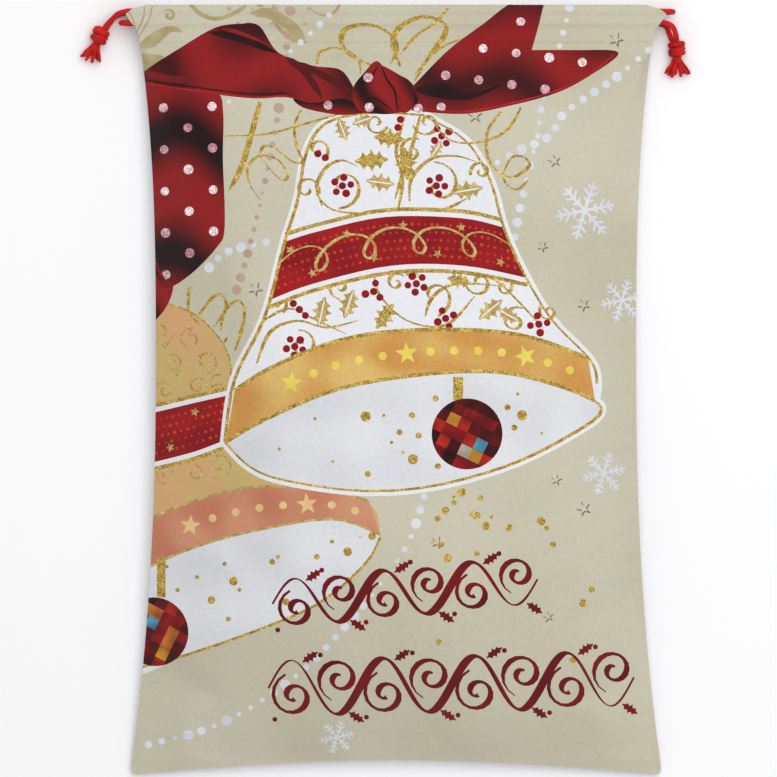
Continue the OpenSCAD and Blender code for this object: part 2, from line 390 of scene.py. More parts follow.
@dataclass(frozen=True)
class PrintedCloth:
    """Matt woven polyester printed on its outer face, with glitter where the print says so."""

    weave: Weave = Weave()
    roughness: float = 0.82
    glitter_scale: float = 900.0

    def material(self) -> Finish:
        """Makes the finish."""
        bench = NodeBench("printed_cloth")
        where = bench.node("UVMap", {"uv_map": "cloth"}).outputs[0]
        ink = bench.node("Attribute", {"attribute_name": "ink"}).outputs["Color"]
        finish = bench.node("Attribute", {"attribute_name": "finish"}).outputs["Color"]
        parts = bench.node("SeparateColor", None, Color=finish)
        glitter, rib = parts.outputs[0], parts.outputs[1]
        height = self.weave.height(bench, where)
        shade = self.weave.shade(bench, where, height)
        flakes = bench.node("TexVoronoi", None, Vector=where, Scale=self.glitter_scale)
        flake = bench.node("SeparateColor", None, Color=flakes.outputs["Color"]).outputs[0]
        spark = bench.ramp(bench.maths("POWER", flake, 2.0), 0.0, 1.0, 0.62, 1.75)
        spark = bench.maths("ADD", 1.0, bench.maths("MULTIPLY", glitter, bench.maths("SUBTRACT", spark, 1.0)))
        lean = bench.node("Mapping", None, Vector=where, Rotation=(0, 0, math.radians(38)))
        cords = bench.ramp(bench.wave(lean.outputs[0], 2.1 * MM, "X", 0.8), 0.0, 1.0, 0.6, 1.34)
        cords = bench.maths("ADD", 1.0, bench.maths("MULTIPLY", rib, bench.maths("SUBTRACT", cords, 1.0)))
        # painted shade between the threads is multiplied into the printed colour here, together with the
        # printed glitter and ribs
        light = bench.maths("MULTIPLY", bench.maths("MULTIPLY", spark, cords), shade)
        tone = bench.grey(light)
        colour = bench.blend(1.0, ink, tone, "MULTIPLY")
        bench.relief(height, 0.35, 0.25 * MM)
        rough = bench.ramp(bench.maths("MULTIPLY", glitter, flake), 0.0, 1.0, self.roughness, 0.38)
        bench.shade(Base_Color=colour, Roughness=rough, Sheen_Weight=0.12, Sheen_Roughness=0.5)
        return bench.shade(Specular_IOR_Level=0.25)


@dataclass(frozen=True)
class PlainCloth:
    """The same cloth without print."""

    name: str = "plain_cloth"
    colour: Colour = srgb(232, 230, 238)
    soil: Colour = srgb(214, 210, 216)
    weave: Weave = Weave()

    def material(self) -> Finish:
        """Makes the finish."""
        bench = NodeBench(self.name)
        where = bench.node("UVMap", {"uv_map": "cloth"}).outputs[0]
        height = self.weave.height(bench, where)
        shade = self.weave.shade(bench, where, height)
        clouds = bench.ramp(bench.noise(where, 7.0, 5.0), 0.45, 0.8, 0.0, 0.6)
        base = bench.blend(clouds, (*self.colour, 1), (*self.soil, 1))
        # painted shade between the threads is multiplied into the plain cloth's colour
        tone = bench.grey(shade)
        bench.relief(height, 0.35, 0.25 * MM)
        rough = bench.ramp(height, 0.3, 1.0, 0.92, 0.8)
        colour = bench.blend(1.0, base, tone, "MULTIPLY")
        bench.shade(Base_Color=colour, Roughness=rough, Sheen_Weight=0.12, Sheen_Roughness=0.5)
        return bench.shade(Specular_IOR_Level=0.25)


@dataclass(frozen=True)
class SpunYarn:
    """Yarn finish with twisted fibres, for thread, drawstrings and tassels."""

    name: str
    colour: Colour
    deep: Colour
    fibre_scale: float
    bump: float
    sheen: float = 0.25
    roughness: float = 0.72

    def material(self) -> Finish:
        """Makes the finish."""
        bench = NodeBench(self.name)
        where = bench.node("TexCoord").outputs["Object"]
        fibres = bench.noise(where, self.fibre_scale, 6.0)
        clouds = bench.noise(where, self.fibre_scale / 12, 3.0)
        share = bench.ramp(bench.maths("ADD", fibres, clouds), 0.7, 1.3, 1.0, 0.0)
        colour = bench.blend(share, (*self.colour, 1), (*self.deep, 1))
        bench.relief(fibres, 0.6, self.bump)
        rough = bench.ramp(clouds, 0.2, 0.8, self.roughness - 0.08, self.roughness + 0.1)
        bench.shade(Base_Color=colour, Roughness=rough, Sheen_Weight=self.sheen, Sheen_Roughness=0.4)
        return bench.shade(Sheen_Tint=(*self.colour, 1), Specular_IOR_Level=0.3)


@dataclass(frozen=True)
class PrintedThread:
    """Sewing thread that was printed together with the cloth it is sewn in."""

    fibre_scale: float = 2600.0
    roughness: float = 0.78

    def material(self) -> Finish:
        """Makes the finish."""
        bench = NodeBench("printed_thread")
        where = bench.node("TexCoord").outputs["Object"]
        ink = bench.node("Attribute", {"attribute_name": "ink"}).outputs["Color"]
        fibres = bench.noise(where, self.fibre_scale, 4.0)
        light = bench.ramp(fibres, 0.2, 0.8, 0.86, 1.04)
        tone = bench.grey(light)
        bench.relief(fibres, 0.5, 0.1 * MM)
        return bench.shade(
            Base_Color=bench.blend(1.0, ink, tone, "MULTIPLY"),
            Roughness=bench.ramp(fibres, 0.2, 0.8, self.roughness, self.roughness + 0.1),
            Sheen_Weight=0.15,
            Specular_IOR_Level=0.25,
        )


@dataclass(frozen=True)
class StudioFloor:
    """Pale matt floor."""

    colour: Colour = srgb(254, 254, 255)
    mottle: Colour = srgb(252, 252, 253)

    def material(self) -> Finish:
        """Makes the finish."""
        bench = NodeBench("studio_floor")
        where = bench.node("TexCoord").outputs["Object"]
        clouds = bench.noise(where, 3.0, 3.0)
        colour = bench.blend(clouds, (*self.colour, 1), (*self.mottle, 1))
        return bench.shade(Base_Color=colour, Roughness=0.9, Specular_IOR_Level=0.1)


@dataclass
class Finishes:
    """Every finish of the sack, made once."""

    printed: Finish = field(default_factory=lambda: PrintedCloth().material())
    plain: Finish = field(default_factory=lambda: PlainCloth().material())
    seam: Finish = field(
        default_factory=lambda: PlainCloth("seam_cloth", srgb(226, 222, 214), srgb(204, 198, 186)).material()
    )
    thread: Finish = field(
        default_factory=lambda: SpunYarn(
            "sewing_thread", srgb(214, 208, 188), srgb(186, 179, 158), 2600.0, 0.1 * MM
        ).material()
    )
    printed_thread: Finish = field(default_factory=lambda: PrintedThread().material())
    cord: Finish = field(
        default_factory=lambda: SpunYarn(
            "drawstring", srgb(226, 30, 28), srgb(140, 8, 12), 700.0, 0.45 * MM, 0.3
        ).material()
    )
    tassel: Finish = field(
        default_factory=lambda: SpunYarn(
            "tassel_fibre", srgb(230, 34, 32), srgb(146, 10, 14), 1300.0, 0.3 * MM, 0.35
        ).material()
    )


# ---------------------------------------------------------------------------------- form of the sack


@dataclass(frozen=True)
class SackForm:
    """Outer form of the lightly filled sack lying on its back, as the frame's panels have it."""

    waist_w: float = 432 * MM
    shoulder_w: float = 460 * MM
    waist_y: float = 30 * MM
    base_rise: float = 14 * MM
    cloth_t: float = 1 * MM
    corner_z: float = 5 * MM
    side_lift: float = 15 * MM
    base_lift: float = 9 * MM
    slit_lift: float = 8 * MM
    channel_h: float = 37 * MM
    ear_out: float = 13 * MM
    ear_drop: float = 9 * MM
    ear_slope: float = 21 * MM
    shoulder_power: float = 2.8
    hip_power: float = 2.3
    base_power: float = 1.8
    fill_power: float = 2.6
    rise_power: float = 2.8
    rise_end: float = 0.42
    rest_flat: float = 0.4
    rest_power: float = 3.0
    rest_end: float = 0.13
    mouth_start: float = 0.5
    mouth_start_back: float = 0.8
    slit_start: float = 0.98
    base_w: float = field(default_factory=lambda: float(box_size("front_panel")[0]))
    crown_h: float = field(default_factory=lambda: float(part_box("front_panel")[1][2]))
    top_y: float = field(default_factory=lambda: float(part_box("front_casing")[1][1]))
    base_y: float = field(default_factory=lambda: float(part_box("front_panel")[0][1]))
    front_z: float = field(default_factory=lambda: float(box_middle("front_casing")[2]))
    back_z: float = field(default_factory=lambda: float(box_middle("back_casing")[2]))

    @property
    def channel_y(self) -> float:
        """Where the panels end and the drawstring channels start."""
        return self.top_y - self.channel_h

    def half_width(self, y: Array) -> Array:
        """Half the width between the side seams."""
        above = np.clip((y - self.waist_y) / (self.channel_y - self.waist_y), 0, 1)
        below = np.clip((self.waist_y - y) / (self.waist_y - self.base_y), 0, 1)
        shoulder = (self.shoulder_w - self.waist_w) * above**self.shoulder_power
        hip = (self.base_w - self.waist_w) * below**self.hip_power
        return (self.waist_w + shoulder + hip) / 2

    def ear(self) -> tuple[Array, Array]:
        """Edge of a channel's ear: heights over the stitched line, and distances from the middle."""
        tip = self.shoulder_w / 2 + self.ear_out
        height = np.array(
            [0, self.channel_h / 3, self.channel_h - self.ear_drop, self.channel_h - self.ear_drop / 2]
        )
        reach = np.array([self.shoulder_w / 2, self.shoulder_w / 2 + 2 * MM, tip, tip - self.ear_slope / 4])
        return np.append(height, self.channel_h), np.append(reach, tip - self.ear_slope)

    def base_edge(self, u: Array) -> Array:
        """Where the base seam runs along Y."""
        return self.base_y + self.base_rise * (1 - np.abs(u) ** self.base_power)

    def share(self, x: Array, y: Array) -> tuple[Array, Array]:
        """Place in a panel: u from -1 to 1 across it, and v from 0 to 1 up it."""
        u = np.clip(x / self.half_width(y), -1, 1)
        low = self.base_edge(u)
        return u, np.clip((y - low) / (self.channel_y - low), 0, 1)

    def seam_level(self, u: Array, v: Array) -> Array:
        """Height of the seam between the two panels."""
        side = self.side_lift * 4 * v * (1 - v)
        base = self.base_lift * (1 - u * u) * (1 - v) ** 4
        return self.corner_z + side + base + self.slit_lift * v**4

    def mouth_turn(self, u: Array, v: Array, first: float) -> Array:
        """How far a point has turned into the mouth: 0 in the body and 1 at the channel."""
        start = mix(first, self.slit_start, np.abs(u) ** 3)
        return smooth((v - start) / (1 - start))

    def panel_z(self, side: Side, u: Array, v: Array, hem: float) -> Array:
        """Height of a panel's outer face.

        Args:
            side: front or back panel.
            u: place across the panel.
            v: place up the panel.
            hem: how far off the channel's middle the face meets it.

        Returns:
            The heights.
        """
        seam = self.seam_level(u, v)
        if side is Side.FRONT:
            rise = 1 - (1 - np.clip(v / self.rise_end, 0, 1)) ** self.rise_power
            full = (1 - np.abs(u) ** self.fill_power) * rise
            body = seam + self.cloth_t + (self.crown_h - self.cloth_t - seam) * full
            return mix(body, self.front_z + hem, self.mouth_turn(u, v, self.mouth_start))
        across = 1 - np.clip((np.abs(u) - self.rest_flat) / (1 - self.rest_flat), 0, 1) ** self.rest_power
        up = 1 - (1 - np.clip(v / self.rest_end, 0, 1)) ** self.rest_power
        body = (seam - self.cloth_t) * (1 - across * up)
        return mix(body, self.back_z - hem, self.mouth_turn(u, v, self.mouth_start_back))


@dataclass(frozen=True)
class ChannelFold:
    """Way of the cloth up a channel's outer ply, over the mouth hem and down its inner ply."""

    height: float
    lanes: tuple[float, float] = (21 * MM, 31 * MM)
    hem: float = 0.85 * MM
    ridge: float = 3.5 * MM
    ridge_w: float = 4.2 * MM
    nose: float = 1.9 * MM
    ply_steps: int = 60
    nose_steps: int = 11

    def half(self, height: Array) -> Array:
        """Half the thickness of the channel, with a ridge over each cord."""
        bump = sum(np.exp(-(((height - lane) / self.ridge_w) ** 2)) for lane in self.lanes)
        return self.hem + (self.ridge - self.hem) * np.minimum(bump, 1.0)

    def section(self) -> tuple[Array, Array, Array]:
        """Length along the cloth, height over the stitched line, and distance off the middle."""
        end = self.height - self.nose
        up = np.linspace(0, end, self.ply_steps)
        off = self.half(up)
        turn = np.linspace(math.pi / 2, -math.pi / 2, self.nose_steps)[1:-1]
        y = np.concatenate([up, end + self.nose * np.cos(turn), up[::-1]])
        z = np.concatenate([off, off[-1] * np.sin(turn), -off[::-1]])
        return np.concatenate([[0], np.cumsum(np.hypot(np.diff(y), np.diff(z)))]), y, z


@dataclass
class Cloth:
    """One panel of the sack with the channel that it folds into, as a surface over its flat cut."""

    form: SackForm
    side: Side
    cloth_t: float = 0.9 * MM
    gather_h: float = 0.7 * MM
    pucker_h: float = 0.5 * MM
    swell: Swell | None = None

    def __post_init__(self) -> None:
        """Works out the fold of the channel."""
        self.fold = ChannelFold(self.form.channel_h)
        self.arc, self.fold_y, self.fold_z = self.fold.section()
        self.end = self.form.channel_y + float(self.arc[-1])

    def creases(self, x: Array, s: Array) -> Array:
        """Height of the small gathers below the channel and the puckers along the sewn edges."""
        form = self.form
        gather_reach, gather_start, pucker_reach = 26 * MM, 12 * MM, 14 * MM
        u, _ = form.share(x, np.minimum(s, form.channel_y))
        below = form.channel_y - s
        near_mouth = np.exp(-np.abs(below) / gather_reach) * smooth(below / gather_start)
        gathers = np.sin(x * 310 + 1.3 * np.sin(x * 57)) * np.sin(x * 43 + 0.7)
        near_side = np.exp(-(1 - np.abs(u)) * form.half_width(s) / pucker_reach)
        puckers = np.sin(s * 265 + 2.1 * np.sin(s * 37 + self.side.value)) * np.sin(s * 31)
        body = smooth(below / (30 * MM))
        edge = smooth((1 - np.abs(u)) * form.half_width(s) / (4 * MM))
        return self.gather_h * gathers * near_mouth * edge + self.pucker_h * puckers * near_side * body * edge

    def place(self, x: Array, s: Array) -> Array:
        """Where points of the flat cut lie on the made-up sack.

        Args:
            x: distances across from the middle line.
            s: distances up the cloth; past the channel's stitched line they follow the fold.

        Returns:
            The places of the outer face, one a row.
        """
        form, face = self.form, self.side.value
        y = np.minimum(s, form.channel_y)
        u, v = form.share(x, y)
        z = form.panel_z(self.side, u, v, self.fold.hem)
        relief = self.creases(x, s)
        if self.side is Side.BACK:
            relief = relief * smooth((z - 1.5 * MM) / (4 * MM))
        z = z + face * relief
        if self.swell is not None:
            z = z + self.swell(u, v)
        over = s > form.channel_y
        up = np.interp(s - form.channel_y, self.arc, self.fold_y)
        off = np.interp(s - form.channel_y, self.arc, self.fold_z)
        middle = form.front_z if self.side is Side.FRONT else form.back_z
        wave = 0.4 * MM * np.sin(x * 71 + 0.4) * np.sin(x * 23) * smooth(up / (8 * MM)) * face
        z = np.where(over, middle + face * off + wave, z)
        y = np.where(over, form.channel_y + up, y)
        return np.column_stack([x, y, z])

    def normals(self, x: Array, s: Array) -> Array:
        """Outward directions of the outer face."""
        step = 0.15 * MM
        low, high = np.maximum(s - step, self.form.base_y), np.minimum(s + step, self.end)
        along_x = self.place(x + step, s) - self.place(x - step, s)
        along_s = self.place(x, high) - self.place(x, low)
        n = np.cross(along_x, along_s) * self.side.value
        return n / np.maximum(np.linalg.norm(n, axis=1), 1e-12)[:, None]

    def cut(self, half: Half) -> Array:
        """Outline of one half of the flat cut, as a closed ring."""
        form = self.form
        corner = 8 * MM
        us = np.linspace(0, 1, 60)
        low = np.column_stack([us * form.half_width(form.base_edge(us)), form.base_edge(us)])
        low = low[low[:, 0] < low[-1, 0] - corner]
        sides = np.linspace(form.base_y + corner, form.channel_y, 140)
        side = np.column_stack([form.half_width(sides), sides])
        tip = np.array([form.half_width(np.array(form.base_y)), form.base_y])
        t = np.linspace(0, 1, 6)[1:-1, None]
        round_corner = low[-1] * (1 - t) ** 2 + 2 * tip * t * (1 - t) + side[0] * t**2
        heights, reach = form.ear()
        ply, crest = self.fold.ply_steps, self.fold.ply_steps + self.fold.nose_steps // 2
        inner = self.arc[-1] - np.interp(heights, self.fold_y[:ply], self.arc[:ply])
        outer = np.interp(heights, self.fold_y[:crest], self.arc[:crest])
        out, back = (np.column_stack([reach, form.channel_y + arc]) for arc in (outer, inner))
        ear = np.vstack([out, back[::-1]])
        ear = even(ear[1:], 2.5 * MM)
        top = np.column_stack([np.linspace(ear[-1, 0], 0, 60), np.full(60, self.end)])[1:]
        middle = np.linspace(self.end, low[0, 1], 170)[1:-1]
        ring = np.vstack([low, round_corner, side, ear, top, np.column_stack([middle * 0, middle])])
        return ring * [half.value, 1]

    def net(self, ring: Array, spacing: float, ply: float) -> Array:
        """Points inside a ring, closer together at the turn and closest in the channel."""
        x = np.arange(-0.26, 0.26, spacing) + spacing / 3
        turn = self.form.channel_y - 45 * MM
        rows = [
            np.arange(self.form.base_y, turn, spacing),
            np.arange(turn, self.form.channel_y - ply, spacing / 2),
            np.arange(self.form.channel_y, self.end, ply),
        ]
        grid = np.array(
            [(a + (spacing / 2 if i % 2 else 0), b) for i, b in enumerate(np.concatenate(rows)) for a in x]
        )
        return grid[winding(grid, ring) != 0]

    def triangulate(
        self, ring: Array, inside: Array, lines: Sequence[Array], clear: float
    ) -> tuple[Array, Array, Array]:
        """Triangles over one ring that keep to all the lines drawn on it.

        Args:
            ring: the outline.
            inside: loose points, dropped where they are too near a line.
            lines: closed rings drawn on the cloth.
            clear: how near is too near.

        Returns:
            The flat points, the triangles, and for each ring point its number among the flat points.
        """
        fixed = np.vstack([ring, *lines])
        tree = KDTree(len(fixed))
        for i, (a, b) in enumerate(fixed):
            tree.insert((a, b, 0), i)
        tree.balance()
        loose = [p for p in inside if tree.find((p[0], p[1], 0))[2] > clear]
        points = np.vstack([fixed, loose]) if loose else fixed
        edges, start = [], 0
        for line in [ring, *lines]:
            n = len(line)
            edges += [(start + i, start + (i + 1) % n) for i in range(n)]
            start += n
        scale = 1 / MM
        flat = [Vector((a * scale, b * scale)) for a, b in points]
        verts, _, faces, origin, _, _ = delaunay_2d_cdt(flat, edges, [], 0, 1e-4)
        xy = np.array([(v.x, v.y) for v in verts]) * MM
        triangles = np.array([f for f in faces if len(f) == 3])
        triangles = triangles[winding(xy[triangles].mean(axis=1), ring) != 0]
        a, b, c = (xy[triangles[:, k]] for k in range(3))
        turned = (b[:, 0] - a[:, 0]) * (c[:, 1] - a[:, 1]) - (b[:, 1] - a[:, 1]) * (c[:, 0] - a[:, 0])
        triangles = np.where((turned < 0)[:, None], triangles[:, ::-1], triangles)[np.abs(turned) > 1e-12]
        number = {source: i for i, sources in enumerate(origin) for source in sources}
        used, triangles = np.unique(triangles, return_inverse=True)
        triangles = triangles.reshape(-1, 3)
        kept = {old: new for new, old in enumerate(used.tolist())}
        return xy[used], triangles, np.array([kept[number[i]] for i in range(len(ring))])

    def make(self, half: Half, artwork: Artwork | None, outside: Finish, inside: Finish) -> Piece:
        """Makes one half of the cloth as a closed sheet with its real thickness.

        Args:
            half: left or right half.
            artwork: the print on its outer face, if it has one.
            outside: finish of the outer face.
            inside: finish of the inner face.

        Returns:
            The new object.
        """
        ring = self.cut(half)
        lines = [] if artwork is None else artwork.lines(ring)
        spacing, ply, ply_in = 5 * MM, 1.3 * MM, 1.9 * MM
        xy, outer, _ = self.triangulate(ring, self.net(ring, spacing, ply), lines, 0.9 * MM)
        loop = boundary(outer)
        edge = xy[loop]
        xy_in, inner, number = self.triangulate(edge, self.net(edge, 0.9 * spacing, ply_in), [], 1.2 * MM)
        top, top_n = self.place(xy[:, 0], xy[:, 1]), self.normals(xy[:, 0], xy[:, 1])
        under_n = self.normals(xy_in[:, 0], xy_in[:, 1])
        under = self.place(xy_in[:, 0], xy_in[:, 1]) - under_n * self.cloth_t
        shift = len(xy)
        flip = self.side.value < 0
        faces = outer[:, ::-1] if flip else outer
        lower = (inner if flip else inner[:, ::-1]) + shift
        n = len(loop)
        rim = [(loop[i], number[i] + shift, number[(i + 1) % n] + shift, loop[(i + 1) % n]) for i in range(n)]
        if flip:
            rim = [quad[::-1] for quad in rim]
        name = f"{self.side.name.lower()}_cloth_{half.name.lower()}"
        mesh = bpy.data.meshes.new(name)
        rim = [tuple(int(i) for i in quad) for quad in rim]
        mesh.from_pydata(np.vstack([top, under]).tolist(), [], faces.tolist() + lower.tolist() + rim)
        self.dress(mesh, xy, xy_in, outer, len(faces), len(lower), artwork, (outside, inside))
        self.smooth_faces(mesh, np.vstack([top_n, -under_n]), len(faces) + len(lower))
        piece = bpy.data.objects.new(name, mesh)
        bpy.context.scene.collection.objects.link(piece)
        LOG.info("%s: %d faces", name, len(mesh.polygons))
        return piece

    def dress(
        self,
        mesh: bpy.types.Mesh,
        xy: Array,
        xy_in: Array,
        outer: Array,
        outer_count: int,
        inner_count: int,
        artwork: Artwork | None,
        finishes: tuple[Finish, Finish],
    ) -> None:
        """Gives the sheet its cloth map, its finishes and, where it is printed, its inks."""
        flat = np.vstack([xy, xy_in])
        corners = np.empty(len(mesh.loops), int)
        mesh.loops.foreach_get("vertex_index", corners)
        mesh.uv_layers.new(name="cloth").data.foreach_set("uv", flat[corners].ravel())
        for finish in finishes:
            mesh.materials.append(finish)
        which = np.ones(len(mesh.polygons), int)
        which[:outer_count] = 0
        mesh.polygons.foreach_set("material_index", which)
        if artwork is None:
            return
        ink = mesh.color_attributes.new("ink", "FLOAT_COLOR", "CORNER")
        kind = mesh.color_attributes.new("finish", "FLOAT_COLOR", "CORNER")
        colour, traits = artwork.paint(xy / MM, outer)
        tail = len(mesh.loops) - len(colour)
        rest = np.tile([*srgb(225, 220, 210), 1.0], (tail, 1))
        ink.data.foreach_set("color", np.vstack([colour, rest]).ravel())
        kind.data.foreach_set("color", np.vstack([traits, np.tile([0, 0, 0, 1.0], (tail, 1))]).ravel())

    def smooth_faces(self, mesh: bpy.types.Mesh, normals: Array, smooth_count: int) -> None:
        """Shades the sheet by the true normals of its surface, so no line shows where the halves meet."""
        shaded = np.zeros(len(mesh.polygons), bool)
        shaded[:smooth_count] = True
        mesh.polygons.foreach_set("use_smooth", shaded)
        corners = np.empty(len(mesh.loops), int)
        mesh.loops.foreach_get("vertex_index", corners)
        wanted = normals[corners]
        flat_n = np.empty(3 * len(mesh.polygons))
        mesh.polygons.foreach_get("normal", flat_n)
        totals = np.empty(len(mesh.polygons), int)
        mesh.polygons.foreach_get("loop_total", totals)
        owner = np.repeat(np.arange(len(mesh.polygons)), totals)
        rim = ~shaded[owner]
        wanted[rim] = flat_n.reshape(-1, 3)[owner[rim]]
        mesh.normals_split_custom_set(wanted.tolist())


@dataclass
class FillSimulation:
    """Cloth simulation of the filled sack: it gives the front panel its own slack and creases.

    The panel starts in its CAD form with a little more cloth than that form needs, is held along
    its seams and by the channel, and is pressed outwards by what the sack holds.
    """

    form: SackForm
    across: int = 49
    up: int = 75
    extra_cloth: float = 0.02
    pressure: float = 0.7
    hold: float = 0.02
    frames: int = 22
    cap: float = 6 * MM

    def closed_mesh(self) -> tuple[Piece, Array]:
        """Makes the closed coarse sack and says which of its points are held."""
        u, v = np.meshgrid(np.linspace(-1, 1, self.across), np.linspace(0, 1, self.up))
        low = self.form.base_edge(u)
        y = mix(low, self.form.channel_y, v)
        x = u * self.form.half_width(y)
        sheets = [np.dstack([x, y, self.form.panel_z(side, u, v, 0.85 * MM)]).reshape(-1, 3) for side in Side]
        size, wide = self.across * self.up, self.across
        faces = []
        for j in range(self.up - 1):
            for i in range(wide - 1):
                a = j * wide + i
                faces.append((a, a + 1, a + wide + 1, a + wide))
                faces.append((size + a, size + a + wide, size + a + wide + 1, size + a + 1))
        loop = boundary(np.array([f[:3] for f in faces[::2]] + [(f[0], f[2], f[3]) for f in faces[::2]]))
        n = len(loop)
        faces += [(loop[i], loop[i] + size, loop[(i + 1) % n] + size, loop[(i + 1) % n]) for i in range(n)]
        mesh = bpy.data.meshes.new("fill_simulation")
        mesh.from_pydata(np.vstack(sheets).tolist(), [], faces)
        piece = bpy.data.objects.new("fill_simulation", mesh)
        bpy.context.scene.collection.objects.link(piece)
        held = np.ones(2 * size, bool)
        held[:size] = False
        held[loop] = True
        return piece, held

    def run(self) -> Swell:
        """Runs the simulation.

        Returns:
            How far the front panel moves up at a place across and up the panel.
        """
        piece, held = self.closed_mesh()
        group = piece.vertex_groups.new(name="seams")
        group.add(np.nonzero(held)[0].tolist(), 1.0, "REPLACE")
        group.add(np.nonzero(~held)[0].tolist(), self.hold, "REPLACE")
        modifier = piece.modifiers.new("cloth", "CLOTH")
        cloth = modifier.settings
        cloth.quality = 7
        cloth.mass = 0.15
        cloth.tension_stiffness = cloth.compression_stiffness = 14
        cloth.shear_stiffness = 5
        cloth.bending_stiffness = 0.12
        cloth.vertex_group_mass = group.name
        cloth.shrink_min = -self.extra_cloth
        cloth.use_pressure = True
        cloth.uniform_pressure_force = self.pressure
        cloth.effector_weights.gravity = 0
        modifier.collision_settings.use_collision = False
        scene = bpy.context.scene
        for number in range(1, self.frames + 1):
            scene.frame_set(number)
        solved = piece.evaluated_get(bpy.context.evaluated_depsgraph_get())
        size = self.across * self.up
        after = np.array([v.co.to_tuple() for v in solved.data.vertices])[:size]
        before = np.array([v.co.to_tuple() for v in piece.data.vertices])[:size]
        moved = (after - before)[:, 2]
        moved = self.cap * np.tanh(moved / self.cap)
        LOG.info("fill simulation: cloth moved %.1f to %.1f mm", moved.min() / MM, moved.max() / MM)
        mesh = piece.data
        bpy.data.objects.remove(piece)
        bpy.data.meshes.remove(mesh)
        scene.frame_set(1)
        return self.field(moved.reshape(self.up, self.across))

    def field(self, grid: Array) -> Swell:
        """Smooth surface over a grid of heights, nothing at its edges."""

        def weights(t: Array) -> list[Array]:
            """Weights of the four nearest rows of the grid."""
            first, second, last = (1 - t) ** 3 / 6, (3 * t**3 - 6 * t**2 + 4) / 6, t**3 / 6
            return [first, second, 1 - first - second - last, last]

        def height(u: Array, v: Array) -> Array:
            """Height at some places across and up the panel."""
            a, b = (u + 1) / 2 * (self.across - 1), v * (self.up - 1)
            i, j = np.floor(a).astype(int), np.floor(b).astype(int)
            across, up = weights(a - i), weights(b - j)
            total = 0.0
            for m in range(4):
                row = np.clip(j + m - 1, 0, self.up - 1)
                for k in range(4):
                    column = np.clip(i + k - 1, 0, self.across - 1)
                    total = total + up[m] * across[k] * grid[row, column]
            return total * smooth((1 - np.abs(u)) * 30) * smooth(v * 40) * smooth((1 - v) * 40)

        return height


def boundary(triangles: Array) -> list[int]:
    """Numbers of the points round the outside of some triangles, anticlockwise."""
    seen: dict[tuple[int, int], bool] = {}
    for a, b, c in triangles.tolist():
        for edge in ((a, b), (b, c), (c, a)):
            seen[edge] = True
    after = {a: b for a, b in seen if (b, a) not in seen}
    start = next(iter(after))
    loop, at = [start], after[start]
    while at != start:
        loop.append(at)
        at = after[at]
    return loop


# ------------------------------------------------------------------------------------------ artwork


@dataclass(frozen=True)
class Ink:
    """One printed colour.

    Attributes:
        colour: its linear colour.
        second: the colour that it washes into.
        tone: share of the second colour at points in millimetres.
        glitter: how much glitter is in it, 0 to 1.
        rib: how much it shows the ribbed weave of a printed ribbon, 0 to 1.
    """

    colour: Colour
    second: Colour | None = None
    tone: Tone | None = None
    glitter: float = 0.0
    rib: float = 0.0


@dataclass(frozen=True)
class Patch:
    """Closed rings filled with one ink, kept inside another ring if one is given."""

    ink: Ink
    rings: tuple[Array, ...]
    within: Array | None = None


def clouds(size: float, seed: int) -> Tone:
    """Soft uneven wash with patches of about one size."""
    dice = random.Random(seed)
    waves = [
        (dice.uniform(0, TAU), dice.uniform(0.6, 1.6) * TAU / size, dice.uniform(0, TAU)) for _ in range(6)
    ]

    def tone(p: Array) -> Array:
        """Share of the second colour at some places."""
        total = sum(
            np.sin((p[:, 0] * math.cos(a) + p[:, 1] * math.sin(a)) * k + phase) for a, k, phase in waves
        )
        return np.clip(0.5 + total / 5, 0, 1)

    return tone


def folds(angle: float, pitch: float, phase: float, bend: float = 0.6, depth: float = 0.6) -> Tone:
    """Light and dark folds across a ribbon.

    Args:
        angle: way across the folds, in degrees.
        pitch: distance between folds, in millimetres.
        phase: where the first one lies.
        bend: how much they bend.
        depth: how dark they get.

    Returns:
        The share of the dark colour.
    """
    across = np.array([math.cos(math.radians(angle)), math.sin(math.radians(angle))])

    def tone(p: Array) -> Array:
        """Share of the dark colour at some places."""
        way = p @ across
        side = p @ np.array([-across[1], across[0]])
        level = np.sin(TAU * way / pitch + phase + bend * np.sin(side / 19))
        return np.clip(0.47 + depth * level, 0, 1) ** 1.25

    return tone


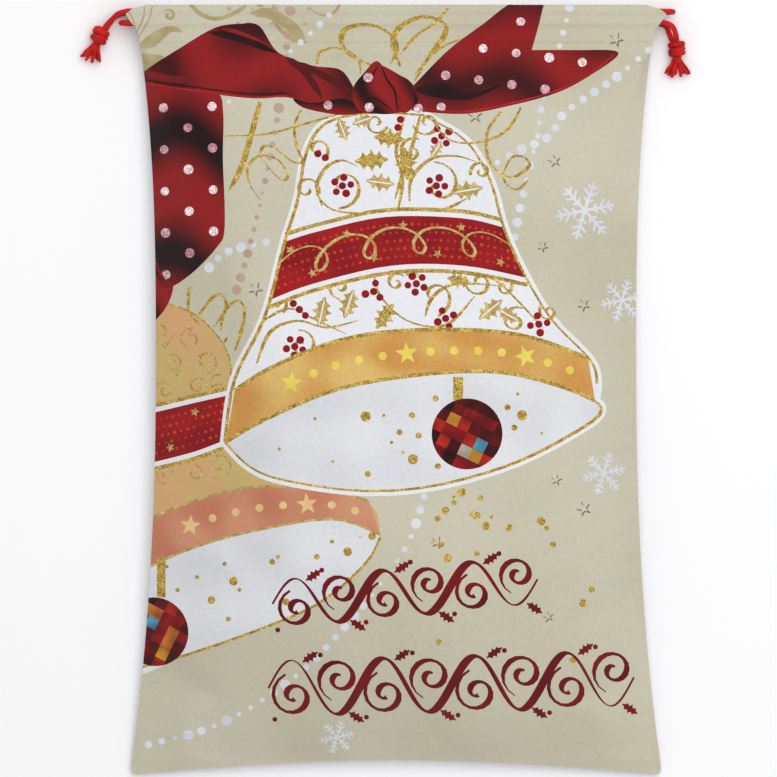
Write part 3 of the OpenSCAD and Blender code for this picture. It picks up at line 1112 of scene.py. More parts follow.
@dataclass(frozen=True)
class Palette:
    """Inks of the print."""

    ground: Ink = Ink(srgb(210, 205, 184), srgb(202, 196, 172), clouds(170, 1))
    khaki: Ink = Ink(srgb(188, 174, 130), srgb(174, 158, 112), clouds(30, 2))
    white: Ink = Ink(srgb(238, 239, 244))
    lilac: Ink = Ink(srgb(232, 233, 236), srgb(222, 224, 229), clouds(90, 3))
    gold: Ink = Ink(srgb(166, 134, 44), srgb(208, 178, 90), clouds(9, 4), glitter=1.0)
    pale_gold: Ink = Ink(srgb(208, 184, 120), srgb(180, 150, 76), clouds(14, 5), glitter=0.6)
    band: Ink = Ink(srgb(164, 18, 24), srgb(136, 10, 18), clouds(46, 6))
    lace: Ink = Ink(srgb(208, 70, 38), srgb(184, 44, 30), clouds(20, 7))
    rim: Ink = Ink(srgb(212, 152, 78), srgb(226, 190, 112), clouds(60, 8), glitter=0.12)
    star: Ink = Ink(srgb(240, 224, 104), srgb(234, 210, 88), clouds(16, 9))
    berry: Ink = Ink(srgb(160, 14, 26), srgb(126, 6, 16), clouds(5, 10))
    dome: Ink = Ink(srgb(208, 182, 116), srgb(222, 170, 122), clouds(75, 11))
    blush: Ink = Ink(srgb(200, 126, 98), srgb(214, 150, 116), clouds(58, 12))
    cream: Ink = Ink(srgb(238, 206, 150), srgb(232, 190, 128), clouds(14, 13))
    bead: Ink = Ink(srgb(228, 231, 238), srgb(216, 220, 230), clouds(40, 19))
    rose: Ink = Ink(srgb(186, 160, 140), srgb(196, 174, 150), clouds(40, 14))
    mark: Ink = Ink(srgb(140, 132, 112), srgb(96, 88, 70), clouds(5, 15))
    crease: Ink = Ink(srgb(50, 8, 12), srgb(30, 5, 8), clouds(30, 22), rib=0.8)
    lip: Ink = Ink(srgb(190, 34, 44), srgb(160, 20, 30), clouds(30, 21), rib=0.6)
    scroll: Ink = Ink(srgb(122, 10, 20), srgb(100, 6, 16), clouds(50, 16))

    def ribbon(self, tone: Tone) -> Ink:
        """Ribbed satin ribbon with its own folds."""
        return Ink(srgb(152, 24, 26), srgb(30, 6, 9), tone, rib=1.0)

    def dot(self, tone: Tone) -> Ink:
        """Glitter dot that sinks into the dark of the ribbon's folds."""
        return Ink(srgb(248, 226, 226), srgb(196, 132, 148), tone, glitter=0.9)

    def gem(self, colour: Colour, darker: Colour) -> Ink:
        """One facet of a cut stone."""
        return Ink(colour, darker, clouds(18, 18))


def disc(centre: Point, radius: float, points: int = 0) -> Array:
    """Round dot, in millimetres."""
    n = points or max(7, min(40, int(3 + 2.6 * math.sqrt(radius) * 2)))
    a = TAU * np.arange(n) / n
    return np.column_stack([centre[0] + radius * np.cos(a), centre[1] + radius * np.sin(a)])


def star(centre: Point, radius: float, points: int = 5, waist: float = 0.42, turn: float = 90.0) -> Array:
    """Star with straight sides."""
    a = math.radians(turn) + math.pi * np.arange(2 * points) / points
    r = np.where(np.arange(2 * points) % 2, radius * waist, radius)
    return np.column_stack([centre[0] + r * np.cos(a), centre[1] + r * np.sin(a)])


def leaf(centre: Point, length: float, angle: float, width: float = 0.62) -> Array:
    """Holly leaf with three points a side."""
    t = np.linspace(0, 1, 25)
    spikes = 3
    swell = np.sin(math.pi * t) ** 0.8
    scallop = 1 - np.abs(np.sin(math.pi * t * (spikes + 1)))
    half = width * length / 2 * swell * (0.52 + 0.62 * scallop)
    way = math.radians(angle)
    along = np.array([math.cos(way), math.sin(way)])
    across = np.array([-along[1], along[0]])
    spine = np.asarray(centre) + (t[:, None] - 0.5) * length * along
    return np.vstack([spine + half[:, None] * across, (spine - half[:, None] * across)[::-1][1:-1]])


def spiral(centre: Point, radius: float, turns: float, start: float, hand: int = 1) -> Array:
    """Spiral from its outer end inwards.

    Args:
        centre: its middle.
        radius: distance of its outer end from the middle.
        turns: how many times it goes round.
        start: angle of its outer end, in degrees.
        hand: 1 to wind anticlockwise and -1 clockwise.

    Returns:
        The points along it.
    """
    core = 0.14
    t = np.linspace(0, 1, max(8, int(17 * turns)))
    r = radius * mix(1.0, core, t**0.9)
    a = math.radians(start) + hand * TAU * turns * t
    return np.column_stack([centre[0] + r * np.cos(a), centre[1] + r * np.sin(a)])


def stroke(points: Array, width: float, ends: Point = (0.35, 0.35), swell: float = 0.0) -> Array:
    """Outline of a pen stroke.

    Args:
        points: the line that the pen follows.
        width: width of the stroke.
        ends: share of the width at its two ends.
        swell: how much the width grows and shrinks along it, as with a broad nib.

    Returns:
        The closed outline.
    """
    p = np.asarray(points, float)
    way = np.gradient(p, axis=0)
    way /= np.maximum(np.linalg.norm(way, axis=1), 1e-9)[:, None]
    t = np.linspace(0, 1, len(p))
    taper = mix(ends[0], 1, smooth(t / 0.25)) * mix(ends[1], 1, smooth((1 - t) / 0.25))
    nib = 1 + swell * np.sin(2 * np.arctan2(way[:, 1], way[:, 0]) - 0.6)
    half = (width / 2 * taper * nib)[:, None] * np.column_stack([-way[:, 1], way[:, 0]])
    return np.vstack([p + half, (p - half)[::-1]])


@dataclass
class Artwork:
    """The print: patches of ink laid on one another, in millimetres."""

    inks: Palette = field(default_factory=Palette)
    patches: list[Patch] = field(default_factory=list)

    def fill(self, ink: Ink, *rings: Array) -> None:
        """Lays a patch on top of what is there."""
        self.patches.append(Patch(ink, tuple(np.asarray(ring, float) for ring in rings)))

    def draw(
        self, ink: Ink, points: Array, width: float, ends: Point = (0.35, 0.35), swell: float = 0.0
    ) -> None:
        """Draws a line."""
        self.fill(ink, stroke(points, width, ends, swell))

    def dots(self, ink: Ink, centres: Iterable[Point], radius: float | Point, seed: int = 0) -> None:
        """Lays round dots, of one radius or of radii drawn between two values."""
        dice = random.Random(seed)
        low, high = (radius, radius) if isinstance(radius, (int, float)) else radius
        rings = [disc(c, dice.uniform(low, high)) for c in centres]
        if rings:
            self.fill(ink, *rings)

    def chain(self, ink: Ink, points: Sequence[Point], gap: float, radius: Point, seed: int) -> None:
        """Lays a chain of beads along a curve."""
        self.dots(ink, even(curve(points), gap).tolist(), radius, seed)

    def lines(self, ring: Array) -> list[Array]:
        """Rings of the print that touch one cut of cloth, in metres."""
        low, high = ring.min(axis=0) / MM, ring.max(axis=0) / MM
        near = []
        for patch in self.patches:
            for line in patch.rings:
                if (line.max(axis=0) > low).all() and (line.min(axis=0) < high).all():
                    near.append(split(line, 3.5) * MM)
        return near

    def colour_thread(self, piece: Piece, flat: Array) -> None:
        """Prints the thread of a piece as the cloth round it.

        Args:
            piece: the thread.
            flat: where each of its points lies on the spread cloth, in metres.
        """
        number = np.arange(len(flat))
        colour, _ = self.paint(flat / MM, np.column_stack([number, number, number]))
        layer = piece.data.color_attributes.new("ink", "FLOAT_COLOR", "POINT")
        layer.data.foreach_set("color", colour[::3].ravel())

    def paint(self, flat: Array, triangles: Array) -> tuple[Array, Array]:
        """Colours every corner of some triangles.

        Args:
            flat: the points, in millimetres.
            triangles: the triangles between them.

        Returns:
            The colour of each corner, and its share of glitter and of rib.
        """
        middle = flat[triangles].mean(axis=1)
        top = np.zeros(len(triangles), int)
        inks = [self.inks.ground]
        for patch in self.patches:
            inks.append(patch.ink)
            for ring in patch.rings:
                low, high = ring.min(axis=0), ring.max(axis=0)
                near = np.nonzero(((middle > low) & (middle < high)).all(axis=1))[0]
                if not near.size:
                    continue
                inside = winding(middle[near], ring) != 0
                if patch.within is not None:
                    inside &= winding(middle[near], patch.within) != 0
                top[near[inside]] = len(inks) - 1
        corner = triangles.ravel()
        owner = np.repeat(top, 3)
        colour = np.ones((len(corner), 4))
        traits = np.zeros((len(corner), 4))
        traits[:, 3] = 1
        for number in np.unique(owner):
            ink, mine = inks[number], owner == number
            base = np.tile(ink.colour, (int(mine.sum()), 1))
            if ink.tone is not None:
                base = mix(base, np.array(ink.second), ink.tone(flat[corner[mine]])[:, None])
            colour[mine, :3] = base
            traits[mine, 0], traits[mine, 1] = ink.glitter, ink.rib
        return colour, traits


@dataclass
class Bell:
    """Outlines of one printed bell, in millimetres, each from left to right or from top to bottom."""

    left: Sequence[Point]
    right: Sequence[Point]
    mouth: Sequence[Point]
    band: Edges
    rim: Edges

    def ring(self) -> Array:
        """Whole outline."""
        return np.vstack([curve(self.left), curve(self.mouth)[1:], curve(self.right)[::-1][1:]])

    def strip(self, edges: Edges) -> Array:
        """Strip between an upper and a lower edge."""
        return np.vstack([curve(edges[0]), curve(edges[1])[::-1]])

    def at(self, edges: Edges, across: float, up: float) -> Point:
        """Point in a strip, with both shares from 0 to 1."""
        low, high = even(curve(edges[1]), 1.0), even(curve(edges[0]), 1.0)
        share = min(max(across, 0.0), 1.0)
        a = low[int(share * (len(low) - 1))]
        b = high[int(share * (len(high) - 1))]
        return tuple(mix(a, b, up))

    def run(self, edges: Edges, wave: Callable[[float], Point], steps: int) -> Array:
        """Line that follows a strip; wave gives its place from its share of the way."""
        return np.array([self.at(edges, *wave(t)) for t in np.linspace(0, 1, steps)])


@dataclass
class FestivePrint:
    """Two bells hung on a ribbon, with bead chains, snowflakes and a scrolled border."""

    art: Artwork = field(default_factory=Artwork)
    big: Bell = field(
        default_factory=lambda: Bell(
            left=(
                (24, 247), (-22, 249), (-62, 240), (-80, 214), (-88, 170), (-100, 130), (-117, 65),
                (-144, 10), (-153, -46)
            ),
            right=(
                (24, 247), (62, 224), (84, 188), (96, 146), (112, 108), (138, 64), (174, 27), (180, 6),
                (178, -9)
            ),
            mouth=(
                (-153, -46), (-130, -68), (-98, -80), (-30, -89), (36, -84), (109, -63), (169, -32),
                (184, -18), (178, -9)
            ),
            band=(
                ((-99, 135), (-70, 144), (-10, 157), (58, 156), (95, 148)),
                ((-113, 78), (-73, 93), (-4, 109), (60, 109), (117, 98)),
            ),
            rim=(
                ((-144, 0), (-112, 20), (-49, 45), (22, 54), (108, 50), (172, 29)),
                ((-152, -46), (-115, -25), (-49, 2), (31, 15), (94, 16), (146, 4), (178, -9)),
            ),
        )
    )
    small: Bell = field(
        default_factory=lambda: Bell(
            left=((-226, 84), (-232, 60), (-240, 0), (-240, -80), (-240, -160)),
            right=(
                (-226, 84), (-198, 76), (-172, 62), (-149, 30), (-146, -20), (-130, -69), (-97, -85),
                (-50, -92), (-20, -104), (-14, -130)
            ),
            mouth=(
                (-240, -160), (-240, -252), (-188, -237), (-112, -209), (-64, -186), (-26, -152),
                (-14, -130)
            ),
            band=(
                ((-240, -22), (-215, -17), (-181, -9), (-140, 0)),
                ((-240, -72), (-184, -58), (-153, -47), (-126, -40))
            ),
            rim=(
                ((-240, -124), (-190, -102), (-130, -86), (-64, -88), (-24, -98)),
                ((-240, -168), (-190, -144), (-131, -126), (-57, -114), (-14, -128)),
            ),
        )
    )

    def make(self) -> Artwork:
        """Lays the whole print, from the ground up."""
        self.top_scrolls()
        self.small_bell()
        self.chains()
        self.big_bell()
        self.snow()
        self.curls()
        self.ribbon()
        self.border()
        return self.art

    def top_scrolls(self) -> None:
        """Pale scrolls and petals behind the ribbon."""
        art, khaki = self.art, self.art.inks.khaki
        for centre, radius, start, hand, width in (
            ((-204, 338), 6, 150, -1, 3.0),
            ((-120, 350), 15, 220, 1, 3.0),
            ((-62, 352), 17, 200, 1, 2.6),
        ):
            art.draw(khaki, spiral(centre, radius, 1.2, start, hand), width, (0.3, 0.6))
        for petal, width in (
            (((-131, 341), (-112, 339), (-94, 327), (-80, 312)), 10),
            (((-112, 334), (-97, 318), (-80, 312)), 4),
        ):
            art.draw(khaki, curve(petal), width, (0.02, 0.02))
        art.draw(
            khaki, curve(((-186, 350), (-182, 345), (-172, 337), (-158, 335), (-140, 343), (-134, 350))), 4,
            (0.6, 0.6)
        )
        for arc in (
            ((-241, 342), (-236, 333), (-234, 322)), ((-226, 346), (-227, 336), (-233, 321)),
            ((-219, 347), (-222, 334), (-231, 318))
        ):
            art.draw(khaki, curve(arc), 1.3, (0.8, 0.8))
        leaf_edge = (
            (-232, 309), (-225, 317), (-217, 323), (-207, 327), (-198, 327), (-192, 322), (-202, 322),
            (-208, 317), (-216, 310), (-224, 307)
        )
        wedge = ((-236, 301), (-210, 301), (-214, 295), (-232, 282))
        for ring in (leaf_edge, wedge):
            art.fill(khaki, curve(ring, True))

    def cut_stone(self, centre: Point, radius: float, seed: int) -> None:
        """Round cut stone with square facets that catch the light."""
        inks, dice = self.art.inks, random.Random(seed)
        reds = [
            srgb(96, 6, 12), srgb(150, 14, 20), srgb(52, 4, 8), srgb(190, 40, 20), srgb(74, 4, 10),
            srgb(120, 10, 14)
        ]
        glints = [srgb(214, 150, 48), srgb(90, 170, 200), srgb(190, 180, 160), srgb(214, 120, 50)]
        edge = disc(centre, radius, 44)
        self.art.fill(inks.gem(srgb(60, 4, 8), srgb(30, 2, 4)), edge)
        cells, tilt = 6, math.radians(64)
        along = np.array([math.cos(tilt), math.sin(tilt)]) * 2 * radius / cells
        aside = np.array([-along[1], along[0]])
        for i in range(cells):
            for j in range(cells):
                low = np.asarray(centre) + along * (i - cells / 2) + aside * (j - cells / 2)
                bulge = 0.12 * radius * math.sin(math.pi * (i + 0.5) / cells)
                corners = np.array([low, low + along, low + along + aside, low + aside]) + [0, bulge * 0.4]
                inner = (i - 2.5) ** 2 + (j - 2.5) ** 2 < 5
                colour = dice.choice(glints) if inner and dice.random() < 0.26 else dice.choice(reds)
                darker = tuple(0.4 * c for c in colour)
                self.art.patches.append(Patch(inks.gem(colour, darker), (corners,), edge))

    def rim_trim(self, bell: Bell, ink: Ink, stars: int, size: float) -> None:
        """Stars along a rim, with dots between them."""
        for k in range(stars):
            at = (k + 0.5) / stars * 0.94 + 0.03
            self.art.fill(ink, star(bell.at(bell.rim, at, 0.5), size, 5, 0.42, 84 + 12 * k))
            for j in range(1, 5):
                spot = bell.at(bell.rim, at + j * 0.94 / stars / 5, 0.5)
                if k < stars - 1 or j < 3:
                    self.art.dots(ink, [spot], size * 0.36)

    def small_bell(self) -> None:
        """Bell behind, half hidden by the left edge."""
        art, inks, bell = self.art, self.art.inks, self.small
        art.fill(inks.dome, bell.ring())
        inside = np.vstack([curve(bell.rim[1]), curve(bell.mouth)[::-1]])
        art.fill(inks.lilac, inside)
        for k, (x, y) in enumerate(
            (
                (-212, 52), (-184, 46), (-200, 24), (-170, 26), (-208, 0), (-178, 4), (-158, 8),
                (-206, -76), (-180, -74), (-158, -66)
            )
        ):
            radius = 13 - 2 * (k % 3)
            art.draw(inks.pale_gold, spiral((x, y), radius, 1.5, 67 * k, 1 if k % 2 else -1), 2.0)
        for k in range(9):
            art.fill(inks.gold, leaf((-218 + 11 * k, 66 - 3.5 * k - 22 * (k % 3)), 8, 40 * k, 0.4))
        self.band(bell, 2)
        art.fill(inks.blush, bell.strip(bell.rim))
        for edge in bell.rim:
            art.draw(inks.pale_gold, curve(edge), 2.2, (1, 1))
        self.rim_trim(bell, inks.cream, 2, 10)
        art.draw(inks.gold, curve(bell.right[:6]), 1.8, (1, 1), 0.2)
        art.draw(inks.gold, curve(bell.mouth[1:]), 2.4, (1, 1))
        self.sprinkle(inside, 12, 21)
        art.dots(inks.gold, ((-43, -143), (-145, -170)), 4.0)
        art.dots(
            inks.gold, ((-178, -167), (-196, -179), (-153, -155), (-105, -148), (-57, -134), (-165, -186)),
            2.0
        )
        art.fill(inks.gold, stroke(np.array([(-211, -150), (-211, -186)]), 8, (1, 1)))
        self.cut_stone((-217, -217), 31, 31)

    def band(self, bell: Bell, knots: int) -> None:
        """Red band with lace dots, a curling line and edge lines."""
        art, inks = self.art, self.art.inks
        art.fill(inks.band, bell.strip(bell.band))
        lace = [
            bell.at(bell.band, (i + 0.5 * (j % 2)) / (9 * knots), 0.2 + 0.15 * j)
            for i in range(9 * knots)
            for j in range(5)
        ]
        art.dots(inks.lace, lace, (0.8, 1.7), 5)

        def loops(t: float) -> Point:
            """Place across and up the band as the line curls along it."""
            turn = TAU * t * (1 + knots)
            sideways, up = 0.33 / (1 + knots), 0.25
            return min(max(t - sideways * math.sin(turn), 0.0), 1.0), 0.5 - up * math.cos(turn)

        if knots > 2:
            art.draw(inks.pale_gold, bell.run(bell.band, loops, 60 * knots), 2.4, swell=0.25)
        for k in range(2 * knots):
            spot = bell.at(bell.band, (k + 0.35) / (2 * knots), 0.24 if k % 2 else 0.78)
            art.fill(inks.pale_gold, star(spot, 4.4, turn=40 * k))
        for edge, lift in zip(bell.band, (4.0, -4.0)):
            art.draw(inks.white, curve(edge), 4.2, (1, 1))
            art.draw(inks.gold, curve(edge) + [0, lift], 3.6, (1, 1))

    def sprinkle(self, ring: Array, count: int, seed: int) -> None:
        """Gold glitter dots strewn inside an outline."""
        dice = random.Random(seed)
        low, high = ring.min(axis=0), ring.max(axis=0)
        spots = [(dice.uniform(low[0], high[0]), dice.uniform(low[1], high[1])) for _ in range(count * 3)]
        inside = [p for p in spots if winding(np.array([p]), ring)[0] != 0][:count]
        self.art.dots(self.art.inks.gold, inside, (1.2, 4.2), seed)

    def holly(self, centre: Point, length: float, angle: float, pale: bool = False) -> None:
        """Holly leaf in gold with a pale vein."""
        art, inks = self.art, self.art.inks
        art.fill(inks.pale_gold if pale else inks.gold, leaf(centre, length, angle))
        way = math.radians(angle)
        reach = np.array([math.cos(way), math.sin(way)]) * length * 0.44
        vein = np.vstack([np.asarray(centre) - reach, centre, np.asarray(centre) + reach])
        art.draw(inks.white if pale else inks.pale_gold, curve(vein), 1.3)

    def berries(self, centre: Point, count: int = 6) -> None:
        """Bunch of red berries."""
        reach, around = 7.6, max(1, count - 1)
        turn = 0.4 + centre[0]
        ring = [
            (
                centre[0] + reach * math.cos(TAU * k / around + turn),
                centre[1] + reach * math.sin(TAU * k / around + turn)
            )
            for k in range(around)
        ]
        self.art.dots(self.art.inks.berry, [centre, *ring], (3.1, 3.7), 9)

    def vine(self, stem: Sequence[Point], curls: Sequence[tuple[Point, float, float, int]]) -> None:
        """Gold vine: a stem and the curls that it bears, each with its middle, radius, start and hand."""
        self.art.draw(self.art.inks.gold, curve(stem), 2.6, (0.5, 0.3), 0.4)
        for centre, radius, start, hand in curls:
            turns = 0.9 if radius > 14 else 1.2
            self.art.draw(
                self.art.inks.gold, spiral(centre, radius, turns, start, hand), 2.6, (0.9, 0.3), 0.4
            )

    def big_bell(self) -> None:
        """Bell in front."""
        art, inks, bell = self.art, self.art.inks, self.big
        art.fill(inks.white, stroke(np.vstack([bell.ring(), bell.ring()[:1]]), 9, (1, 1)))
        art.fill(inks.white, bell.ring())
        for stem in (
            ((12, 169), (14, 190), (31, 207), (53, 210), (74, 204)),
            ((-66, 165), (-71, 183), (-62, 200), (-48, 206), (-34, 200)),
            ((22, 248), (15, 221), (6, 194), (-1, 171)),
            ((26, 66), (31, 81), (46, 93), (67, 95), (94, 93)),
            ((-118, 62), (-95, 73), (-70, 62), (-44, 50)),
        ):
            self.vine(stem, ())
        self.vine(
            ((-20, 160), (-34, 158), (-58, 162), (-72, 176)),
            (((-48, 183), 21, -100, 1), ((-80, 180), 12, -20, 1), ((-70, 216), 11, -70, 1)),
        )
        self.vine(
            ((8, 160), (20, 158), (44, 162), (64, 172)),
            (((38, 183), 22, 100, -1), ((14, 214), 13, 60, 1), ((76, 196), 10, 200, -1)),
        )
        self.vine(
            ((2, 162), (6, 190), (0, 214), (8, 246)), (((28, 240), 13, 190, 1), ((-18, 240), 11, -20, -1))
        )
        for centre, length, angle, pale in (
            ((-6, 226), 28, -6, False), ((-22, 206), 30, 4, False), ((-14, 186), 26, -8, True), (
                (9, 203), 30, -84, False
            ),
            ((-48, 234), 22, -70, True), ((64, 179), 28, 10, True), ((-30, 242), 20, 20, True), (
                (36, 216), 18, 60, True
            ),
        ):
            self.holly(centre, length, angle, pale)
        for spot, count in (((-48, 183), 6), ((36, 183), 6), ((-70, 212), 2), ((41, 228), 5), ((4, 243), 3)):
            self.berries(spot, count)
        self.vine(
            ((-124, 24), (-112, 52), (-88, 62), (-62, 56), (-34, 62)),
            (((-106, 78), 10, -60, 1), ((-84, 40), 14, 100, -1), ((-50, 92), 11, -90, -1)),
        )
        self.vine(
            ((-20, 104), (-14, 84), (10, 62), (44, 58), (70, 84)),
            (((34, 84), 18, -80, 1), ((74, 96), 13, 170, 1), ((0, 96), 9, 40, 1)),
        )
        self.vine(
            ((60, 108), (88, 98), (108, 80), (132, 54)),
            (((106, 62), 13, 60, 1), ((96, 92), 9, 90, -1), ((136, 70), 9, 140, 1)),
        )
        for centre, length, angle, pale in (
            ((-66, 70), 27, 78, True), ((-42, 77), 27, 72, True), ((-10, 66), 27, 56, False), (
                (84, 72), 27, 40, True
            ),
            ((100, 67), 22, -30, True), ((56, 98), 22, -12, False), ((-92, 88), 18, 30, True), (
                (14, 104), 16, -20, True
            ),
        ):
            self.holly(centre, length, angle, pale)
        for spot, count in (
            ((-90, 39), 6), ((-86, 72), 3), ((-20, 88), 4), ((18, 95), 6), ((44, 64), 5), ((127, 59), 5)
        ):
            self.berries(spot, count)
        self.band(bell, 4)
        inside = np.vstack([curve(bell.rim[1]), curve(bell.mouth)[::-1]])
        art.fill(inks.lilac, inside)
        art.fill(inks.rim, bell.strip(bell.rim))
        for edge in bell.rim:
            art.draw(inks.gold, curve(edge), 3.4, (1, 1))
        self.rim_trim(bell, inks.star, 3, 10.4)
        for side in (bell.left, bell.right[:-1]):
            art.draw(inks.gold, curve(side), 2.4, (1, 1), 0.3)
        art.draw(inks.gold, curve(bell.mouth), 2.6, (1, 1), 0.3)
        for radius, spots in (
            (4.6, ((-27, -23), (112, -22), (15, -61))),
            (2.8, ((35, -7), (14, -22), (3, -37), (-25, -74), (99, -15), (105, -33), (20, -40), (37, -67))),
            (
                1.5,
                (
                    (-72, -25), (-11, -22), (6, -55), (-56, -63), (130, -38), (108, -3), (-104, -52),
                    (-4, -46)
                )
            ),
        ):
            art.dots(inks.gold, spots, radius)
        art.fill(inks.gold, stroke(np.array([(55, 12), (55, -12)]), 9, (1, 1)))
        self.cut_stone((63, -38.5), 31.5, 32)

    def chains(self) -> None:
        """Strings of beads round the bells."""
        art, inks = self.art, self.art.inks
        for k, points in enumerate(
            (
                ((227, 306), (196, 280), (151, 249), (138, 228), (108, 214), (80, 198)),
                ((156, 345), (146, 306), (132, 262), (127, 228)),
                ((123, 214), (110, 160), (104, 124)),
                ((25, -94), (8, -140), (-36, -199), (-92, -257), (-160, -300), (-223, -319)),
                ((-60, 338), (-89, 310), (-150, 259)),
                ((-167, 110), (-150, 124), (-116, 132)),
            )
        ):
            art.chain(inks.bead, points, 12.6, (1.9, 5.0), 41 + k)
        art.chain(
            inks.rose, ((-95, 342), (-104, 261), (-116, 193), (-131, 127), (-142, 90)), 11.4, (1.8, 4.8), 52
        )
        for k in range(10):
            art.dots(inks.rose, [(-150 + 17 * (k % 5) + 4 * (k % 3), 344 - 14 * (k // 5))], (1.2, 2.4), k)

    def snow(self) -> None:
        """Snowflakes, small star marks and loose gold dots."""
        art, inks = self.art, self.art.inks
        for centre, size in (((169, 161), 27), ((203, 81), 20), ((186, -74), 20), ((-53, -311), 16)):
            rings = []
            for k in range(6):
                a = math.radians(60 * k + 12)
                way, side = np.array([math.cos(a), math.sin(a)]), np.array([-math.sin(a), math.cos(a)])
                rings.append(stroke(np.array([way * 0, way * size]) + centre, size * 0.1, (1, 0.8)))
                for at, reach in ((0.3, 0.16), (0.52, 0.24), (0.76, 0.18)):
                    for hand in (1, -1):
                        tip = way * size * (at + reach * 0.75) + side * hand * size * reach
                        rings.append(
                            stroke(np.array([way * size * at, tip]) + centre, size * 0.085, (1, 0.8))
                        )
            art.fill(inks.bead, *rings)
        for k, centre in enumerate(
            (
                (198, 315), (142, 205), (131, 128), (71, 246), (168, 76), (143, -80), (168, -106),
                (37, -135), (136, -202), (-125, 90)
            )
        ):
            size = 7.6 - 0.9 * (k % 3)
            art.fill(inks.mark, star(centre, size, 5, 0.36, 70 + 31 * k))
            art.fill(inks.ground, star((centre[0] - 0.5, centre[1] + 0.6), size * 0.66, 5, 0.42, 70 + 31 * k))
        dice = random.Random(8)
        strewn = [(dice.uniform(30, 140), dice.uniform(-150, -88) - 0.16 * k) for k in range(20)]
        art.dots(inks.gold, strewn + [(38, -224), (175, -178), (167, -190), (158, -241)], (1.2, 4.4), 43)

    def spotted(
        self, ring: Array, tone: Tone, start: Point, angle: float, pitch: Point, stagger: float
    ) -> None:
        """Ribbon piece with glitter dots.

        Args:
            ring: its outline.
            tone: its folds.
            start: middle of one dot.
            angle: way of the rows, in degrees.
            pitch: distance between dots in a row, and between rows.
            stagger: how far each second row is set on, as a share of the pitch.
        """
        art, inks = self.art, self.art.inks
        art.fill(inks.ribbon(tone), ring)
        along = np.array([math.cos(math.radians(angle)), math.sin(math.radians(angle))])
        across = np.array([-along[1], along[0]])
        spots = []
        for j in range(-9, 10):
            for i in range(-9, 10):
                p = np.asarray(start) + along * pitch[0] * (i + stagger * (j % 2)) + across * pitch[1] * j
                if (winding(disc(tuple(p), 3, 8), ring) != 0).all():
                    spots.append(tuple(p))
        art.dots(inks.dot(tone), spots, (3.9, 4.5), 3)

    def ribbon(self) -> None:
        """Ribbon with its knot and tails."""
        art, inks = self.art, self.art.inks
        tail = curve(
            (
                (-238, 273), (-200, 274), (-162, 268), (-155, 250), (-155, 207), (-153, 146), (-160, 128),
                (-184, 104), (-206, 92), (-216, 104), (-238, 170)
            ),
            True,
        )
        art.fill(
            inks.ribbon(folds(40, 40, 2.6)),
            curve(((-222, 122), (-206, 112), (-200, 92), (-210, 70), (-228, 60)), True)
        )
        self.spotted(tail, folds(86, 112, 2.6, 0.9), (-209, 254), -89, (37.5, 22), 0.5)
        art.draw(inks.ribbon(folds(0, 200, 4.0)), curve(((-222, 132), (-214, 110), (-206, 96))), 2.4)
        band = np.vstack(
            [
                curve(
                    (
                        (-250, 270), (-227, 287), (-194, 308), (-163, 326), (-140, 330), (-123, 328),
                        (-106, 304), (-76, 292), (-50, 288), (-38, 272)
                    )
                ),
                curve(
                    (
                        (-24, 250), (-52, 248), (-74, 256), (-98, 263), (-124, 262), (-157, 265),
                        (-226, 276), (-250, 270)
                    )
                ),
            ]
        )
        art.fill(inks.ribbon(folds(64, 96, 3.9, 1.4, 0.42)), band)
        art.fill(
            inks.ribbon(folds(60, 30, 4.2)),
            curve(((-160, 325), (-146, 325), (-124, 316), (-107, 304), (-120, 312), (-142, 318)), True)
        )
        dark, bright = inks.crease, inks.lip
        for shade in (
            ((-92, 296), (-64, 282), (-40, 268)), ((-226, 286), (-204, 280), (-180, 280)),
            ((-100, 300), (-82, 286), (-66, 262))
        ):
            art.draw(inks.ribbon(folds(0, 500, 2.0, 0.6, 0.3)), curve(shade), 6.5, (0.1, 0.1))
        art.draw(dark, curve(((-170, 322), (-150, 319), (-128, 312), (-106, 303))), 6, (0.05, 0.1))
        art.draw(
            bright, curve(((-40, 251), (-74, 257), (-98, 264), (-124, 263), (-157, 266), (-230, 277))), 1.3,
            (1, 1)
        )
        art.draw(dark, curve(((-98, 267), (-124, 266), (-157, 269), (-230, 280))), 1.2, (1, 1))
        fold = curve(
            (
                (-92, 262), (-74, 258), (-50, 262), (-38, 258), (-26, 250), (-46, 247), (-64, 249),
                (-84, 254)
            ),
            True
        )
        self.spotted(fold, folds(80, 34, 0.4), (-61, 256), 0, (39, 30), 0)
        right = np.vstack(
            [
                curve(((14, 272), (47, 306), (76, 328), (106, 352), (134, 366), (130, 336), (122, 306))),
                curve(
                    (
                        (122, 306), (161, 306), (200, 304), (176, 284), (144, 267), (100, 255), (60, 248),
                        (14, 251)
                    )
                ),
            ]
        )
        self.spotted(right, folds(75, 80, 4.24, 0.9, 0.42), (112, 332), -8, (30, 29), 0)
        art.draw(
            bright, curve(((196, 302), (176, 286), (144, 269), (100, 257), (60, 250), (20, 253))), 1.5,
            (0.5, 0.5)
        )
        art.fill(dark, curve(((16, 270), (40, 276), (70, 268), (96, 276), (70, 262), (40, 262)), True))
        knot = curve(
            (
                (-39, 270), (-28, 286), (-17, 296), (-6, 284), (8, 281), (18, 270), (18, 256), (2, 249),
                (-16, 248), (-34, 252)
            ),
            True
        )
        art.fill(inks.ribbon(folds(20, 34, 0.9, 1.5)), knot)
        wrap = curve(
            ((-14, 292), (2, 284), (15, 274), (16, 256), (8, 249), (0, 254), (-2, 268), (-10, 280)), True
        )
        art.fill(inks.ribbon(folds(25, 26, 2.2, 0.3, 0.42)), wrap)
        for crease in (
            ((-13, 291), (-8, 279), (-1, 268), (1, 251)), ((-37, 269), (-24, 280), (-16, 291)),
            ((-34, 264), (-20, 263), (-4, 252))
        ):
            art.draw(dark, curve(crease), 1.9)
        art.dots(inks.dot(clouds(9, 20)), ((-25, 281), (-24, 254), (20, 253)), 4.2)

